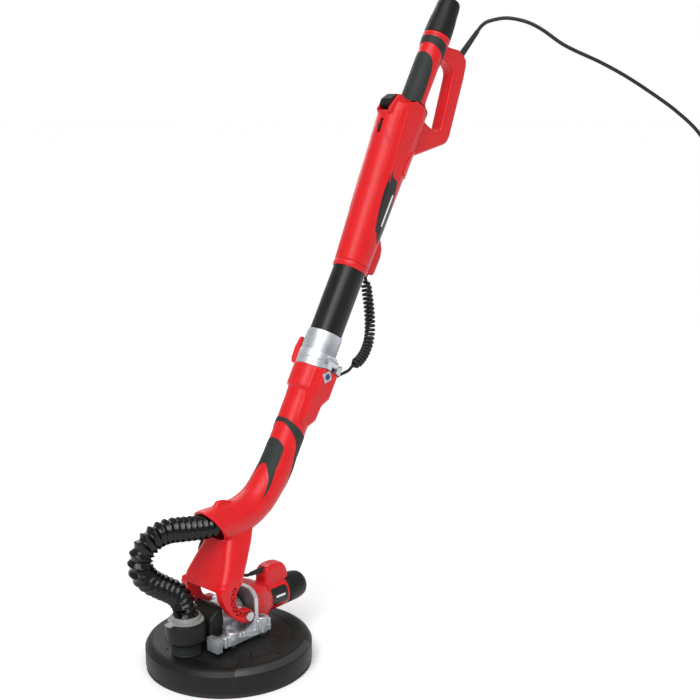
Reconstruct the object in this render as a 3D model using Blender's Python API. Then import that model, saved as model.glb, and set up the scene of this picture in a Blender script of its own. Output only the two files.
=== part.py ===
"""Pole drywall sander, modelled as the pieces it comes apart into.

Units are metres. The origin is the centre of the abrasive face, on the floor.
+Z is up, the pole leans towards +X, where the motor and the operator are, and
the dust port and its hose are on the -X side. The pole has a frame of its own:
across it towards +X is local X, along it is local Z, and Y is shared.
"""

import math

import bmesh
import bpy
from mathutils import Matrix, Vector

# ---- driving dimensions -------------------------------------------------
GAP = 0.0003                                # clearance between touching pieces
LEAN = math.radians(30.0)                   # pole from the vertical
POLE_FOOT = Vector((-0.0617, 0.0, 0.0))     # where the pole's axis meets the floor

SHROUD_RADIUS = 0.125
SHROUD_TOP = 0.0425
SHROUD_WALL = 0.003
BRUSH_TOP = 0.007
PAD_RADIUS = 0.110
PORT_X = -0.082
PORT_HOLE_RADIUS = 0.017

MOTOR_AXIS = 0.080                          # height of the armature's axis
MOTOR_FRONT = 0.0203
MOTOR_JOIN = 0.107                          # motor shell meets its end cap
CABLE_HEIGHT = 0.124                        # the motor's cable leaves at this height
MOTOR_END = 0.150
TILT_AXIS = Vector((0.0, 0.0, 0.084))       # the fork turns about Y here
NOSE_RADIUS = 0.0227
LEG_INNER = 0.0325
LEG_OUTER = 0.0465
THROAT_X = -0.002                           # the open curl between pivot and crown
THROAT_Z = 0.1175
THROAT_RADIUS = 0.0235
PIN_RADIUS = 0.004

GEAR_TEETH = 30
PINION_TEETH = 10
GEAR_DISTANCE = 0.0190                      # apex to the teeth's outer ends

ARM_RADIUS = 0.025
ARM_WALL = 0.0035
COLLAR_RADIUS = 0.0298
COLLAR_LOW = 0.451                          # distances along the pole's axis
COLLAR_TOP = 0.488
FOLD_PLANE = 0.500
FOLD_SIDE = -0.039                          # the fold pin lies on the -Y side
TUBE_RADIUS = 0.026
TUBE_WALL = 0.002
TUBE_TOP = 0.700
SLEEVE_TOP = 0.546
HOUSING_LOW = 0.655
BODY_TOP = 0.947
GRIP_LOW = 0.957
SHOULDER_DROP = 0.012
DROP_REACH = 0.6
HOUSING_TOP = 1.077
CONNECTOR_TOP = 1.143
GRIP_RADIUS = 0.0205
HANDLE_HALF = 0.0125

HOSE_DIAMETER = 0.037
MOTOR_CABLE_DIAMETER = 0.005
CURLY_DIAMETER = 0.018
CORD_DIAMETER = 0.0064
COIL_MEAN_RADIUS = 0.036
COIL_HALF_WIDTH = 0.0130
COIL_HEIGHT = 0.0200
COIL_CENTRE = Vector((0.905, -0.395, 0.0))

SEGMENTS = 24
RIM_SEGMENTS = 48                           # for the wide discs and the shroud


# ---- the pole's frame ---------------------------------------------------
POLE_MATRIX = Matrix.Translation(POLE_FOOT) @ Matrix.Rotation(LEAN, 4, "Y")


def pole(along, across=0.0, side=0.0):
    """World point at a distance along the pole, across it, and to its side."""
    return POLE_MATRIX @ Vector((across, side, along))


def clear_scene():
    for item in list(bpy.data.objects):
        bpy.data.objects.remove(item, do_unlink=True)


def material(name, colour, roughness, metallic=0.0, alpha=1.0):
    made = bpy.data.materials.new(name)
    made.use_nodes = True
    shader = made.node_tree.nodes["Principled BSDF"]
    shader.inputs["Base Color"].default_value = (*colour, 1.0)
    shader.inputs["Roughness"].default_value = roughness
    shader.inputs["Metallic"].default_value = metallic
    shader.inputs["Alpha"].default_value = alpha
    return made


def empty(name, location, lean=False, parent=None):
    """A frame for pieces: its base is where it stands in their coordinates."""
    marker = bpy.data.objects.new(name, None)
    bpy.context.collection.objects.link(marker)
    marker.location = location
    if lean:
        marker.rotation_euler = (0.0, LEAN, 0.0)
    marker.parent = parent
    return marker


class Frame:
    """An empty and the point of the modelling coordinates that it stands on."""

    def __init__(self, marker=None, base=(0.0, 0.0, 0.0)):
        self.marker = marker
        self.base = Vector(base)


def add(name, shape, finish, frame, origin=None, sharp=35.0, cutter=False):
    """Make an object from (verts, faces), placed by its origin in its frame."""
    verts, faces = shape
    origin = Vector(origin) if origin is not None else frame.base.copy()
    mesh = bpy.data.meshes.new(name)
    mesh.from_pydata([tuple(Vector(v) - origin) for v in verts], [], faces)
    work = bmesh.new()
    work.from_mesh(mesh)
    bmesh.ops.remove_doubles(work, verts=work.verts, dist=1e-6)
    bmesh.ops.recalc_face_normals(work, faces=work.faces)
    work.to_mesh(mesh)
    work.free()
    mesh.shade_smooth()
    mesh.set_sharp_from_angle(angle=math.radians(sharp))
    made = bpy.data.objects.new(name, mesh)
    bpy.context.collection.objects.link(made)
    made.parent = frame.marker
    made.location = origin - frame.base
    if finish is not None:
        mesh.materials.append(finish)
    if cutter:
        made.hide_render = True
        made.display_type = "WIRE"
    return made


def boolean(target, tool, operation):
    step = target.modifiers.new(tool.name, "BOOLEAN")
    step.operation = operation
    step.solver = "EXACT"
    step.object = tool


def cut(target, name, shape, frame, bevel=0.0):
    tool = add(name, shape, None, frame, cutter=True)
    if bevel:
        round_edges(tool, bevel, 2)
    boolean(target, tool, "DIFFERENCE")
    return tool


def join(target, name, shape, frame, bevel=0.0, segments=2):
    tool = add(name, shape, None, frame, cutter=True)
    if bevel:
        round_edges(tool, bevel, segments)
    boolean(target, tool, "UNION")
    return tool


def round_edges(piece, width, segments=2, angle=40.0):
    step = piece.modifiers.new("rounded", "BEVEL")
    step.width = width
    step.segments = segments
    step.limit_method = "ANGLE"
    step.angle_limit = math.radians(angle)


# ---- shapes -------------------------------------------------------------
def circle(radius, count=SEGMENTS):
    step = 2.0 * math.pi / count
    return [(radius * math.cos(i * step), radius * math.sin(i * step)) for i in range(count)]


def turned(profile, count=SEGMENTS, centre=(0.0, 0.0, 0.0), axis="Z"):
    """A solid turned about an axis from a closed (radius, height) profile."""
    verts = []
    faces = []
    centre = Vector(centre)
    size = len(profile)
    for i in range(count):
        angle = 2.0 * math.pi * i / count
        for radius, height in profile:
            around = (radius * math.cos(angle), radius * math.sin(angle))
            if axis == "Z":
                point = Vector((around[0], around[1], height))
            elif axis == "X":
                point = Vector((height, around[0], around[1]))
            else:
                point = Vector((around[1], height, around[0]))
            verts.append(centre + point)
    for i in range(count):
        other = (i + 1) % count
        for j in range(size):
            following = (j + 1) % size
            if profile[j][0] < 1e-9 and profile[following][0] < 1e-9:
                continue
            corner = [i * size + j, other * size + j, other * size + following, i * size + following]
            if profile[j][0] < 1e-9:
                corner = [corner[0], corner[2], corner[3]]
            elif profile[following][0] < 1e-9:
                corner = [corner[0], corner[1], corner[2]]
            faces.append(corner)
    return verts, faces


def tube_profile(inner, outer, low, high):
    return [(inner, low), (outer, low), (outer, high), (inner, high)]


def rod_profile(radius, low, high, chamfer=0.0):
    if chamfer:
        return [(0.0, low), (radius - chamfer, low), (radius, low + chamfer),
                (radius, high - chamfer), (radius - chamfer, high), (0.0, high)]
    return [(0.0, low), (radius, low), (radius, high), (0.0, high)]


def loft(rings):
    """A capped solid through rings that have equal numbers of points."""
    count = len(rings[0])
    verts = [point for ring in rings for point in ring]
    faces = []
    for k in range(len(rings) - 1):
        for i in range(count):
            other = (i + 1) % count
            faces.append([k * count + i, k * count + other, (k + 1) * count + other, (k + 1) * count + i])
    faces.append(list(range(count)))
    faces.append([(len(rings) - 1) * count + i for i in range(count)])
    return verts, faces


def prism(outline, low, high, across="Y"):
    """An outline in two axes, extruded along the third."""
    rings = []
    for level in (low, high):
        if across == "Y":
            rings.append([(a, level, b) for a, b in outline])
        elif across == "Z":
            rings.append([(a, b, level) for a, b in outline])
        else:
            rings.append([(level, a, b) for a, b in outline])
    return loft(rings)


def block(low, high):
    outline = [(low[0], low[1]), (high[0], low[1]), (high[0], high[1]), (low[0], high[1])]
    return prism(outline, low[2], high[2], "Z")


def rounded_section(half_y, half_z, corner, steps=4):
    """A rectangle with round corners, in two axes, about its centre."""
    points = []
    for quarter, (side_y, side_z) in enumerate(((1, 1), (-1, 1), (-1, -1), (1, -1))):
        for k in range(steps + 1):
            angle = math.radians(90.0 * (quarter + k / steps))
            points.append((side_y * (half_y - corner) + corner * math.cos(angle),
                           side_z * (half_z - corner) + corner * math.sin(angle)))
    return points


def swept(points, radii, count=SEGMENTS, end_normals=(None, None)):
    """A round tube along points, each ring square to the path or as stated."""
    points = [Vector(p) for p in points]
    rings = []
    side = None
    for i, point in enumerate(points):
        ahead = points[min(i + 1, len(points) - 1)] - points[max(i - 1, 0)]
        if i == 0 and end_normals[0] is not None:
            ahead = Vector(end_normals[0])
        if i == len(points) - 1 and end_normals[1] is not None:
            ahead = Vector(end_normals[1])
        ahead.normalize()
        if side is None:
            side = Vector((0.0, 1.0, 0.0))
            if abs(ahead.y) > 0.9:
                side = Vector((1.0, 0.0, 0.0))
        side = (side - ahead * side.dot(ahead)).normalized()
        upward = ahead.cross(side)
        rings.append([point + side * a + upward * b for a, b in circle(radii[i], count)])
    return loft(rings)


def smooth_path(route, count):
    """Points read at equal spacing from a smooth curve through a route."""
    route = [Vector(p) for p in route]
    fine = []
    for i in range(len(route) - 1):
        before = route[i - 1] if i else route[0] * 2.0 - route[1]
        after = route[i + 2] if i + 2 < len(route) else route[-1] * 2.0 - route[-2]
        for k in range(24):
            t = k / 24.0
            fine.append(0.5 * ((2.0 * route[i]) + (route[i + 1] - before) * t
                               + (2.0 * before - 5.0 * route[i] + 4.0 * route[i + 1] - after) * t * t
                               + (3.0 * route[i] - before - 3.0 * route[i + 1] + after) * t ** 3))
    fine.append(route[-1])
    lengths = [0.0]
    for a, b in zip(fine, fine[1:]):
        lengths.append(lengths[-1] + (b - a).length)
    points = []
    k = 0
    for i in range(count):
        target = lengths[-1] * i / (count - 1)
        while k < len(fine) - 2 and lengths[k + 1] < target:
            k += 1
        span = lengths[k + 1] - lengths[k]
        points.append(fine[k].lerp(fine[k + 1], (target - lengths[k]) / span if span else 0.0))
    return points


def cable(name, route, diameter, count, finish, frame, resolution=2):
    """A cord's plain tube: a bevelled poly curve with filled caps."""
    curve = bpy.data.curves.new(name, "CURVE")
    curve.dimensions = "3D"
    curve.bevel_depth = diameter / 2.0
    curve.bevel_resolution = resolution
    curve.use_fill_caps = True
    spline = curve.splines.new("POLY")
    points = smooth_path(route, count)
    spline.points.add(len(points) - 1)
    for target, point in zip(spline.points, points):
        target.co = (*(point - frame.base), 1.0)
    spline.use_smooth = True
    made = bpy.data.objects.new(name, curve)
    bpy.context.collection.objects.link(made)
    made.parent = frame.marker
    curve.materials.append(finish)
    return made


def shell_patch(rows, thickness, centre, half, count=12):
    """A curved plate about local Z, through (height, inner radius) rows."""
    rings = []
    for height, inner in rows:
        ring = []
        for i in range(count + 1):
            angle = centre - half + 2.0 * half * i / count
            ring.append(((inner + thickness) * math.cos(angle), (inner + thickness) * math.sin(angle), height))
        for i in range(count, -1, -1):
            angle = centre - half + 2.0 * half * i / count
            ring.append((inner * math.cos(angle), inner * math.sin(angle), height))
        rings.append(ring)
    return loft(rings)


def housing_ring(along, radius, depth, drop=0.0, count=SEGMENTS):
    """The upper housing's section: round, stretched by depth towards -X, and lower there by drop."""
    ring = []
    for a, b in circle(radius, count):
        shift = depth if a < -1e-9 else 0.0
        share = min(1.0, max(0.0, -a / (DROP_REACH * radius)))
        ring.append((a - shift, b, along - drop * share))
    return ring


def bevel_gear(teeth, half_angle, bore, backing):
    """A straight bevel gear with its apex at the origin and its axis along Z."""
    module = 2.0 * GEAR_DISTANCE * math.sin(half_angle) / teeth
    addendum = 0.75 * module / GEAR_DISTANCE
    dedendum = 1.10 * module / GEAR_DISTANCE
    inner = GEAR_DISTANCE * 0.66
    outline = []
    pitch = 2.0 * math.pi / teeth
    for i in range(teeth):
        for share, tilt in ((-0.21, -dedendum), (-0.10, addendum), (0.10, addendum), (0.21, -dedendum)):
            outline.append(((i + share) * pitch, half_angle + tilt))
    rings = []
    for distance in (GEAR_DISTANCE, inner):
        rings.append([(distance * math.sin(t) * math.cos(a), distance * math.sin(t) * math.sin(a),
                       distance * math.cos(t)) for a, t in outline])
    face_low = inner * math.cos(half_angle + dedendum)
    back = GEAR_DISTANCE * math.cos(half_angle - dedendum) + backing
    hub = [(bore * math.cos(a), bore * math.sin(a), face_low) for a, _ in outline]
    rear = [(bore * math.cos(a), bore * math.sin(a), back) for a, _ in outline]
    reach = GEAR_DISTANCE * math.sin(half_angle - dedendum)
    rim = [(reach * math.cos(a), reach * math.sin(a), back) for a, _ in outline]
    loop = [rings[1], rings[0], rim, rear, hub]
    count = len(outline)
    verts = [point for ring in loop for point in ring]
    faces = []
    for k in range(len(loop)):
        other = (k + 1) % len(loop)
        for i in range(count):
            j = (i + 1) % count
            faces.append([k * count + i, k * count + j, other * count + j, other * count + i])
    return verts, faces


def moved(shape, matrix):
    verts, faces = shape
    return [matrix @ Vector(v) for v in verts], faces


# ---- finishes -----------------------------------------------------------
clear_scene()
RED = material("red_plastic", (0.72, 0.02, 0.03), 0.35)
BLACK = material("black_plastic", (0.02, 0.021, 0.02), 0.45)
RUBBER = material("dark_rubber", (0.03, 0.034, 0.033), 0.7)
ALUMINIUM = material("cast_aluminium", (0.62, 0.64, 0.67), 0.42, 1.0)
STEEL = material("ground_steel", (0.55, 0.56, 0.58), 0.3, 1.0)
COPPER = material("copper_winding", (0.70, 0.33, 0.18), 0.35, 1.0)
HOSE = material("hose_vinyl", (0.012, 0.013, 0.013), 0.18)
CLEAR = material("clear_plastic", (0.75, 0.76, 0.78), 0.1, 0.0, 0.45)
FOAM = material("pad_foam", (0.06, 0.06, 0.065), 0.9)
GRIT = material("abrasive_paper", (0.42, 0.33, 0.22), 0.95)
BRISTLE = material("black_bristle", (0.010, 0.010, 0.010), 0.8)
BRASS = material("plug_brass", (0.75, 0.62, 0.35), 0.3, 1.0)
CORD = material("cord_rubber", (0.015, 0.015, 0.015), 0.5)

WORLD = Frame()


# ---- sanding pad: turns about Z -----------------------------------------
def build_pad():
    disc_thickness = 0.0012
    foam_top = 0.0115
    plate_top = 0.0158
    disc = add("abrasive_disc", turned(rod_profile(PAD_RADIUS, 0.0, disc_thickness), RIM_SEGMENTS), GRIT, WORLD)
    hole_circle = 0.070
    for i in range(8):
        angle = math.radians(45.0 * i + 22.5)
        spot = (hole_circle * math.cos(angle), hole_circle * math.sin(angle), 0.0)
        cut(disc, f"disc_hole_{i}", turned(rod_profile(0.005, -0.001, 0.003), 10, spot), WORLD)
    foam = turned(tube_profile(0.009, PAD_RADIUS - 0.002, disc_thickness + GAP, foam_top), RIM_SEGMENTS)
    add("pad_foam", foam, FOAM, WORLD)
    low = foam_top + GAP
    profile = [(0.0076, low), (PAD_RADIUS - 0.006, low), (PAD_RADIUS - 0.006, plate_top),
               (0.030, plate_top), (0.020, plate_top + 0.004), (0.0076, plate_top + 0.004)]
    add("pad_plate", turned(profile, RIM_SEGMENTS), BLACK, WORLD)
    seat = plate_top + 0.004 + GAP
    shaft = [(0.0, 0.0125), (0.007, 0.0125), (0.007, seat), (0.014, seat), (0.014, seat + 0.004),
             (0.008, seat + 0.006), (0.008, 0.0595), (0.007, 0.0595), (0.007, 0.0735), (0.0, 0.0735)]
    add("spindle", turned(shaft, 24), STEEL, WORLD)
    half_angle = math.atan(GEAR_TEETH / PINION_TEETH)
    gear = bevel_gear(GEAR_TEETH, half_angle, 0.0074, 0.004)
    down = Matrix.Translation((0.0, 0.0, MOTOR_AXIS)) @ Matrix.Rotation(math.pi, 4, "X")
    turn = Matrix.Rotation(math.pi / GEAR_TEETH, 4, "Z")
    add("bevel_gear", moved(gear, down @ turn), STEEL, WORLD)


# ---- armature and pinion: turn about X ----------------------------------
def build_armature():
    centre = (0.0, 0.0, MOTOR_AXIS)
    half_angle = math.atan(PINION_TEETH / GEAR_TEETH)
    pinion = bevel_gear(PINION_TEETH, half_angle, 0.0028, 0.002)
    place = Matrix.Translation(centre) @ Matrix.Rotation(math.pi / 2.0, 4, "Y")
    add("bevel_pinion", moved(pinion, place), STEEL, WORLD, origin=centre)
    shaft = 0.0031
    core = 0.0125
    nose = 0.0025
    profile = [(0.0, 0.015), (nose, 0.015), (nose, 0.0265), (shaft, 0.0265), (shaft, 0.052), (core - 0.003, 0.055), (core, 0.058),
               (core, 0.086), (core - 0.003, 0.089), (0.008, 0.092), (0.0095, 0.094), (0.0095, 0.110),
               (shaft, 0.112), (shaft, 0.134), (0.0, 0.134)]
    add("armature", turned(profile, 20, centre, "X"), COPPER, WORLD, origin=centre)
    fan = [(0.0034, 0.0425), (0.0185, 0.0425), (0.0185, 0.0440), (0.0085, 0.0500), (0.0034, 0.0500)]
    add("cooling_fan", turned(fan, 24, centre, "X"), BLACK, WORLD, origin=centre)


# ---- sanding head: the fixed castings and the motor ---------------------
def build_gear_housing():
    plate_low = 0.052
    plate_high = 0.060
    outline = [(-0.060, -0.040), (-0.040, -0.050), (0.040, -0.050), (0.044, -0.044),
               (0.044, 0.044), (0.040, 0.050), (-0.040, 0.050), (-0.060, 0.040)]
    housing = add("gear_housing", prism(outline, plate_low, plate_high, "Z"), ALUMINIUM, WORLD)
    nose = turned(rod_profile(NOSE_RADIUS, -0.030, 0.0135), SEGMENTS, (0, 0, MOTOR_AXIS), "X")
    join(housing, "nose", nose, WORLD)
    face = rounded_section(0.043, 0.033, 0.018, 5)
    flange = prism([(y, z + 0.087) for y, z in face], 0.0130, 0.0198, "X")
    join(housing, "flange", flange, WORLD)
    for i, (x, y) in enumerate(((-0.030, -0.041), (0.028, -0.041), (-0.030, 0.041), (0.028, 0.041))):
        high = 0.074 if x > 0 else 0.069
        join(housing, f"boss_{i}", turned(rod_profile(0.0095, 0.0505, high), 16, (x, y, 0.0)), WORLD)
        cut(housing, f"boss_hole_{i}", turned(rod_profile(0.0040, 0.045, 0.080), 12, (x, y, 0.0)), WORLD)
    for i, side in enumerate((-1.0, 1.0)):
        toe = [(-0.066, side * 0.0276), (-0.055, side * 0.0276), (-0.055, side * 0.050), (-0.066, side * 0.050)]
        join(housing, f"toe_{i}", prism(toe, 0.0475, 0.068, "Z"), WORLD)
        trunnion = turned(rod_profile(0.0105, 0.020, 0.0322), 20, TILT_AXIS, "Y")
        if side < 0:
            trunnion = moved(trunnion, Matrix.Scale(-1.0, 4, (0.0, 1.0, 0.0)))
        join(housing, f"trunnion_{i}", trunnion, WORLD)
    join(housing, "spindle_sleeve", turned(rod_profile(0.0235, 0.0470, 0.0707), 24), WORLD)
    cut(housing, "gear_chamber", turned(rod_profile(0.0195, 0.0655, 0.0845), 24), WORLD)
    cut(housing, "bearing_seat", turned(rod_profile(0.0145, 0.0440, 0.0670), 24), WORLD)
    mouth = turned(rod_profile(0.0185, 0.010, 0.024), 24, (0, 0, MOTOR_AXIS), "X")
    cut(housing, "pinion_mouth", mouth, WORLD)
    motor_room = block((0.0200, -0.0305, 0.0450), (0.0900, 0.0305, 0.1200))
    cut(housing, "motor_room", motor_room, WORLD)
    drum_room = turned(rod_profile(0.0299, 0.0450, 0.0950), SEGMENTS, (PORT_X, 0, 0))
    cut(housing, "drum_room", drum_room, WORLD)
    for side in (-1.0, 1.0):
        ends = sorted((side * 0.0285, side * 0.036))
        hole = turned(rod_profile(PIN_RADIUS + 0.0003, ends[0], ends[1]), 16, TILT_AXIS, "Y")
        cut(housing, f"trunnion_hole_{side:.0f}", hole, WORLD)


def build_head():
    build_gear_housing()
    ring = turned(tube_profile(0.0082, 0.0142, 0.0475, 0.0592), 24)
    add("spindle_bearing", ring, STEEL, WORLD)
    seal_rows = ((0.0108, NOSE_RADIUS + GAP), (0.0127, NOSE_RADIUS + GAP))
    upright = Matrix.Translation((0.0, 0.0, MOTOR_AXIS)) @ Matrix.Rotation(math.pi / 2.0, 4, "Y")
    seal = shell_patch(seal_rows, 0.0033, math.pi, math.radians(104.0), 18)
    add("nose_seal", moved(seal, upright), RUBBER, WORLD)
    centre = (0.0, 0.0, MOTOR_AXIS)
    add("front_bearing", turned(tube_profile(0.0034, 0.0100, 0.0290, 0.0370), 20, centre, "X"), STEEL, WORLD)
    add("rear_bearing", turned(tube_profile(0.0034, 0.0090, 0.1200, 0.1270), 20, centre, "X"), STEEL, WORLD)
    add("stator", turned(tube_profile(0.0135, 0.0195, 0.0560, 0.0880), 24, centre, "X"), STEEL, WORLD)
    for name, side in (("left", 1.0), ("right", -1.0)):
        ends = sorted((side * 0.0098, side * 0.0185))
        low = (0.0985, ends[0], MOTOR_AXIS - 0.004)
        high = (0.1055, ends[1], MOTOR_AXIS + 0.004)
        add(f"carbon_brush_{name}", block(low, high), BRASS, WORLD)
    for name, side in (("left", 1.0), ("right", -1.0)):
        ends = (0.0290, LEG_OUTER + GAP, LEG_OUTER + 0.0028)
        pin = [(0.0, ends[0]), (PIN_RADIUS, ends[0]), (PIN_RADIUS, ends[1]), (0.0075, ends[1]),
               (0.0075, ends[2] - 0.0008), (0.0065, ends[2]), (0.0, ends[2])]
        shape = turned(pin, 16, TILT_AXIS, "Y")
        if side < 0:
            shape = moved(shape, Matrix.Scale(-1.0, 4, (0.0, 1.0, 0.0)))
        add(f"pivot_pin_{name}", shape, STEEL, WORLD)


def motor_rings(inset, stations):
    rings = []
    for x, half_y, half_z, corner, height in stations:
        section = rounded_section(half_y - inset, half_z - inset, max(corner - inset, 0.004), 5)
        rings.append([(x, y, z + height) for y, z in section])
    return rings


MOTOR_STATIONS = (
    (MOTOR_FRONT, 0.0300, 0.0305, 0.010, 0.0830),
    (0.0360, 0.0300, 0.0305, 0.010, 0.0830),
    (0.0560, 0.0275, 0.0280, 0.012, 0.0820),
    (0.0680, 0.0240, 0.0240, 0.0235, MOTOR_AXIS),
    (MOTOR_JOIN, 0.0232, 0.0232, 0.0230, MOTOR_AXIS),
)


def build_motor():
    wall = 0.0026
    shell = add("motor_housing", loft(motor_rings(0.0, MOTOR_STATIONS)), RED, WORLD)
    lug = block((0.068, -0.0125, 0.098), (0.114, 0.0125, CABLE_HEIGHT + 0.007))
    join(shell, "cable_lug", lug, WORLD, 0.006, 3)
    cut(shell, "lug_end", block((MOTOR_JOIN, -0.03, 0.05), (0.13, 0.03, 0.1037)), WORLD)
    hollow = motor_rings(wall, MOTOR_STATIONS[1:])
    hollow[0] = [(0.0400, y, z) for _, y, z in hollow[0]]
    hollow[-1] = [(MOTOR_JOIN + 0.002, y, z) for _, y, z in hollow[-1]]
    cut(shell, "motor_hollow", loft(hollow), WORLD)
    nose = turned(rod_profile(0.0104, 0.010, 0.045), 20, (0, 0, MOTOR_AXIS), "X")
    cut(shell, "shaft_way", nose, WORLD)
    relief_hole = turned(rod_profile(0.0048, 0.060, 0.078), 12, (0, 0, CABLE_HEIGHT), "X")
    cut(shell, "relief_hole", relief_hole, WORLD)
    low = MOTOR_JOIN + GAP
    cap = [(0.0200, low), (0.0232, low), (0.0228, 0.128), (0.0215, 0.140), (0.0185, 0.1475),
           (0.0145, MOTOR_END), (0.0, MOTOR_END), (0.0, 0.1450), (0.0093, 0.1450), (0.0093, 0.1190),
           (0.0113, 0.1190), (0.0113, 0.1450), (0.0160, 0.1445), (0.0188, 0.138), (0.0200, 0.126)]
    add("motor_end_cap", turned(cap, SEGMENTS, (0, 0, MOTOR_AXIS), "X"), BLACK, WORLD)
    relief = [(0.0, 0.0460), (0.0031, 0.0460), (0.0036, 0.0600), (0.0044, 0.0665), (0.0044, 0.0765),
              (0.0, 0.0765)]
    add("motor_cable_relief", turned(relief, 14, (0, 0, CABLE_HEIGHT), "X"), RUBBER, WORLD)


def build_duct():
    low = 0.058
    high = 0.091
    duct = add("dust_duct", turned(tube_profile(0.0195, 0.0295, low, high), SEGMENTS, (PORT_X, 0, 0)),
               BLACK, WORLD)
    hood = [(PORT_X + 0.0235, 0.0603), (PORT_X + 0.0235, high - 0.002), (-0.050, 0.096),
            (-0.040, 0.103), (-0.0340, 0.105), (-0.0340, 0.0603)]
    join(duct, "hood", prism(hood, -0.027, 0.027), WORLD, 0.003)
    ring_room = turned(rod_profile(0.0280, high, 0.110), SEGMENTS, (PORT_X, 0, 0))
    cut(duct, "ring_room", ring_room, WORLD)
    ring_low = high + GAP
    ring = [(0.0193, ring_low), (0.0275, ring_low), (0.0275, ring_low + 0.004), (0.0230, ring_low + 0.009),
            (0.0193, ring_low + 0.009)]
    origin = (PORT_X, 0.0, ring_low)
    lock = add("hose_lock_ring", turned(ring, 28, (PORT_X, 0, 0)), CLEAR, WORLD, origin=origin)
    tab = block((PORT_X - 0.034, -0.006, ring_low), (PORT_X - 0.025, 0.006, ring_low + 0.0045))
    join(lock, "lock_tab", tab, WORLD)


# ---- floating shroud ----------------------------------------------------
def segment_outline(grow):
    """The lift-off segment seen from above: a chord with splayed ends."""
    return [(-0.036 - grow, -0.069 + grow), (0.039 + grow, -0.069 + grow), (0.0775 + grow, -0.110),
            (0.150 + grow, -0.190), (-0.150 - grow, -0.190), (-0.0775 - grow, -0.0985)]


def shroud_shape():
    top = SHROUD_TOP
    outer = SHROUD_RADIUS
    wall = SHROUD_WALL
    profile = [(outer, BRUSH_TOP), (outer, 0.0335), (outer - 0.0025, 0.0375), (outer - 0.0085, 0.0412),
               (outer - 0.013, top), (0.027, top), (0.027, top - wall), (outer - 0.014, top - wall),
               (outer - wall, 0.0310), (outer - wall, BRUSH_TOP)]
    return turned(profile, RIM_SEGMENTS)


def brush_shape():
    profile = tube_profile(SHROUD_RADIUS - 0.0045, SHROUD_RADIUS - 0.0012, 0.0005, BRUSH_TOP - GAP)
    return turned(profile, RIM_SEGMENTS)


def build_shroud():
    wide = prism(segment_outline(0.00015), -0.01, 0.08, "Z")
    narrow = prism(segment_outline(-0.00015), -0.01, 0.08, "Z")
    shroud = add("shroud", shroud_shape(), BLACK, WORLD)
    for i, (x, y) in enumerate(((-0.030, -0.041), (0.028, -0.041), (-0.030, 0.041), (0.028, 0.041))):
        stud = turned(rod_profile(0.0034, SHROUD_TOP - 0.002, 0.0640), 12, (x, y, 0.0))
        join(shroud, f"stud_{i}", stud, WORLD)
        build_float_spring(i, x, y)
    hole = turned(rod_profile(PORT_HOLE_RADIUS, 0.030, 0.050), 25, (PORT_X, 0, 0))
    cut(shroud, "port_hole", hole, WORLD)
    cut(shroud, "segment_room", wide, WORLD)
    segment = add("shroud_segment", shroud_shape(), BLACK, WORLD)
    keep = add("segment_keep", narrow, None, WORLD, cutter=True)
    boolean(segment, keep, "INTERSECT")
    skirt = add("brush_skirt", brush_shape(), BRISTLE, WORLD)
    cut(skirt, "skirt_room", wide, WORLD)
    piece = add("segment_brush", brush_shape(), BRISTLE, WORLD)
    boolean(piece, keep, "INTERSECT")
    rings = [(0.0172, 0.0430), (0.0222, 0.0430)]
    for k in range(4):
        rings += [(0.0222, 0.0440 + 0.0034 * k), (0.0198, 0.0457 + 0.0034 * k)]
    rings += [(0.0222, 0.0576), (0.0190, 0.0576)]
    add("duct_bellows", turned(rings, 20, (PORT_X, 0, 0)), RUBBER, WORLD)


def build_float_spring(index, x, y):
    """A short compression coil between the shroud and the casting's boss."""
    turns = 2.6
    radius = 0.0056
    wire = 0.0007
    low = SHROUD_TOP + 0.0012
    high = 0.0493
    steps = 26
    points = []
    for i in range(steps + 1):
        share = i / steps
        angle = 2.0 * math.pi * turns * share
        points.append((x + radius * math.cos(angle), y + radius * math.sin(angle), low + (high - low) * share))
    add(f"float_spring_{index}", swept(points, [wire] * len(points), 5), STEEL, WORLD)


# ---- the fork, neck and lower arm ---------------------------------------
ARM_ROUTE = (
    ((-0.0330, 0.0, 0.2210), 0.0300),
    ((-0.0150, 0.0, 0.2195), 0.0290),
    ((0.0100, 0.0, 0.2215), 0.0280),
    ((0.0360, 0.0, 0.2270), 0.0275),
    ((0.0600, 0.0, 0.2385), 0.0270),
    ((0.0800, 0.0, 0.2560), 0.0265),
)
ARM_STATIONS = (
    (0.325, 0.0260), (0.350, ARM_RADIUS), (0.3855, ARM_RADIUS), (0.3860, 0.0238), (0.3980, 0.0238),
    (0.3985, ARM_RADIUS), (0.430, 0.0252), (0.4500, 0.0256), (COLLAR_LOW + 0.001, 0.0294),
    (0.456, COLLAR_RADIUS), (COLLAR_TOP, COLLAR_RADIUS),
)
PORT_NORMAL = (0.836, 0.0, 0.55)


def arm_sweep(inset, overrun):
    points = [Vector(p) for p, _ in ARM_ROUTE] + [pole(s) for s, _ in ARM_STATIONS]
    radii = [r for _, r in ARM_ROUTE] + [r for _, r in ARM_STATIONS]
    if inset:
        radii = [min(r, ARM_RADIUS + 0.002) - inset for r in radii]
        radii[0] = ARM_ROUTE[0][1] - 0.0028
        radii[1] = ARM_ROUTE[1][1] - 0.0030
        for i, (station, _) in enumerate(ARM_STATIONS):
            if 0.380 < station < 0.400:
                radii[len(ARM_ROUTE) + i] = ARM_RADIUS - inset - 0.0006
    normals = (PORT_NORMAL, None)
    if overrun:
        points[0] = points[0] - Vector(PORT_NORMAL).normalized() * overrun
        points[-1] = pole(COLLAR_TOP + overrun)
    return swept(points, radii, SEGMENTS, normals)


def crown_rings(stations):
    rings = []
    for height, front, rear, half in stations:
        corner = min(0.010, half * 0.5)
        section = rounded_section((rear - front) / 2.0, half, corner, 3)
        middle = (rear + front) / 2.0
        rings.append([(middle + a, b, height) for a, b in section])
    return rings


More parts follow.
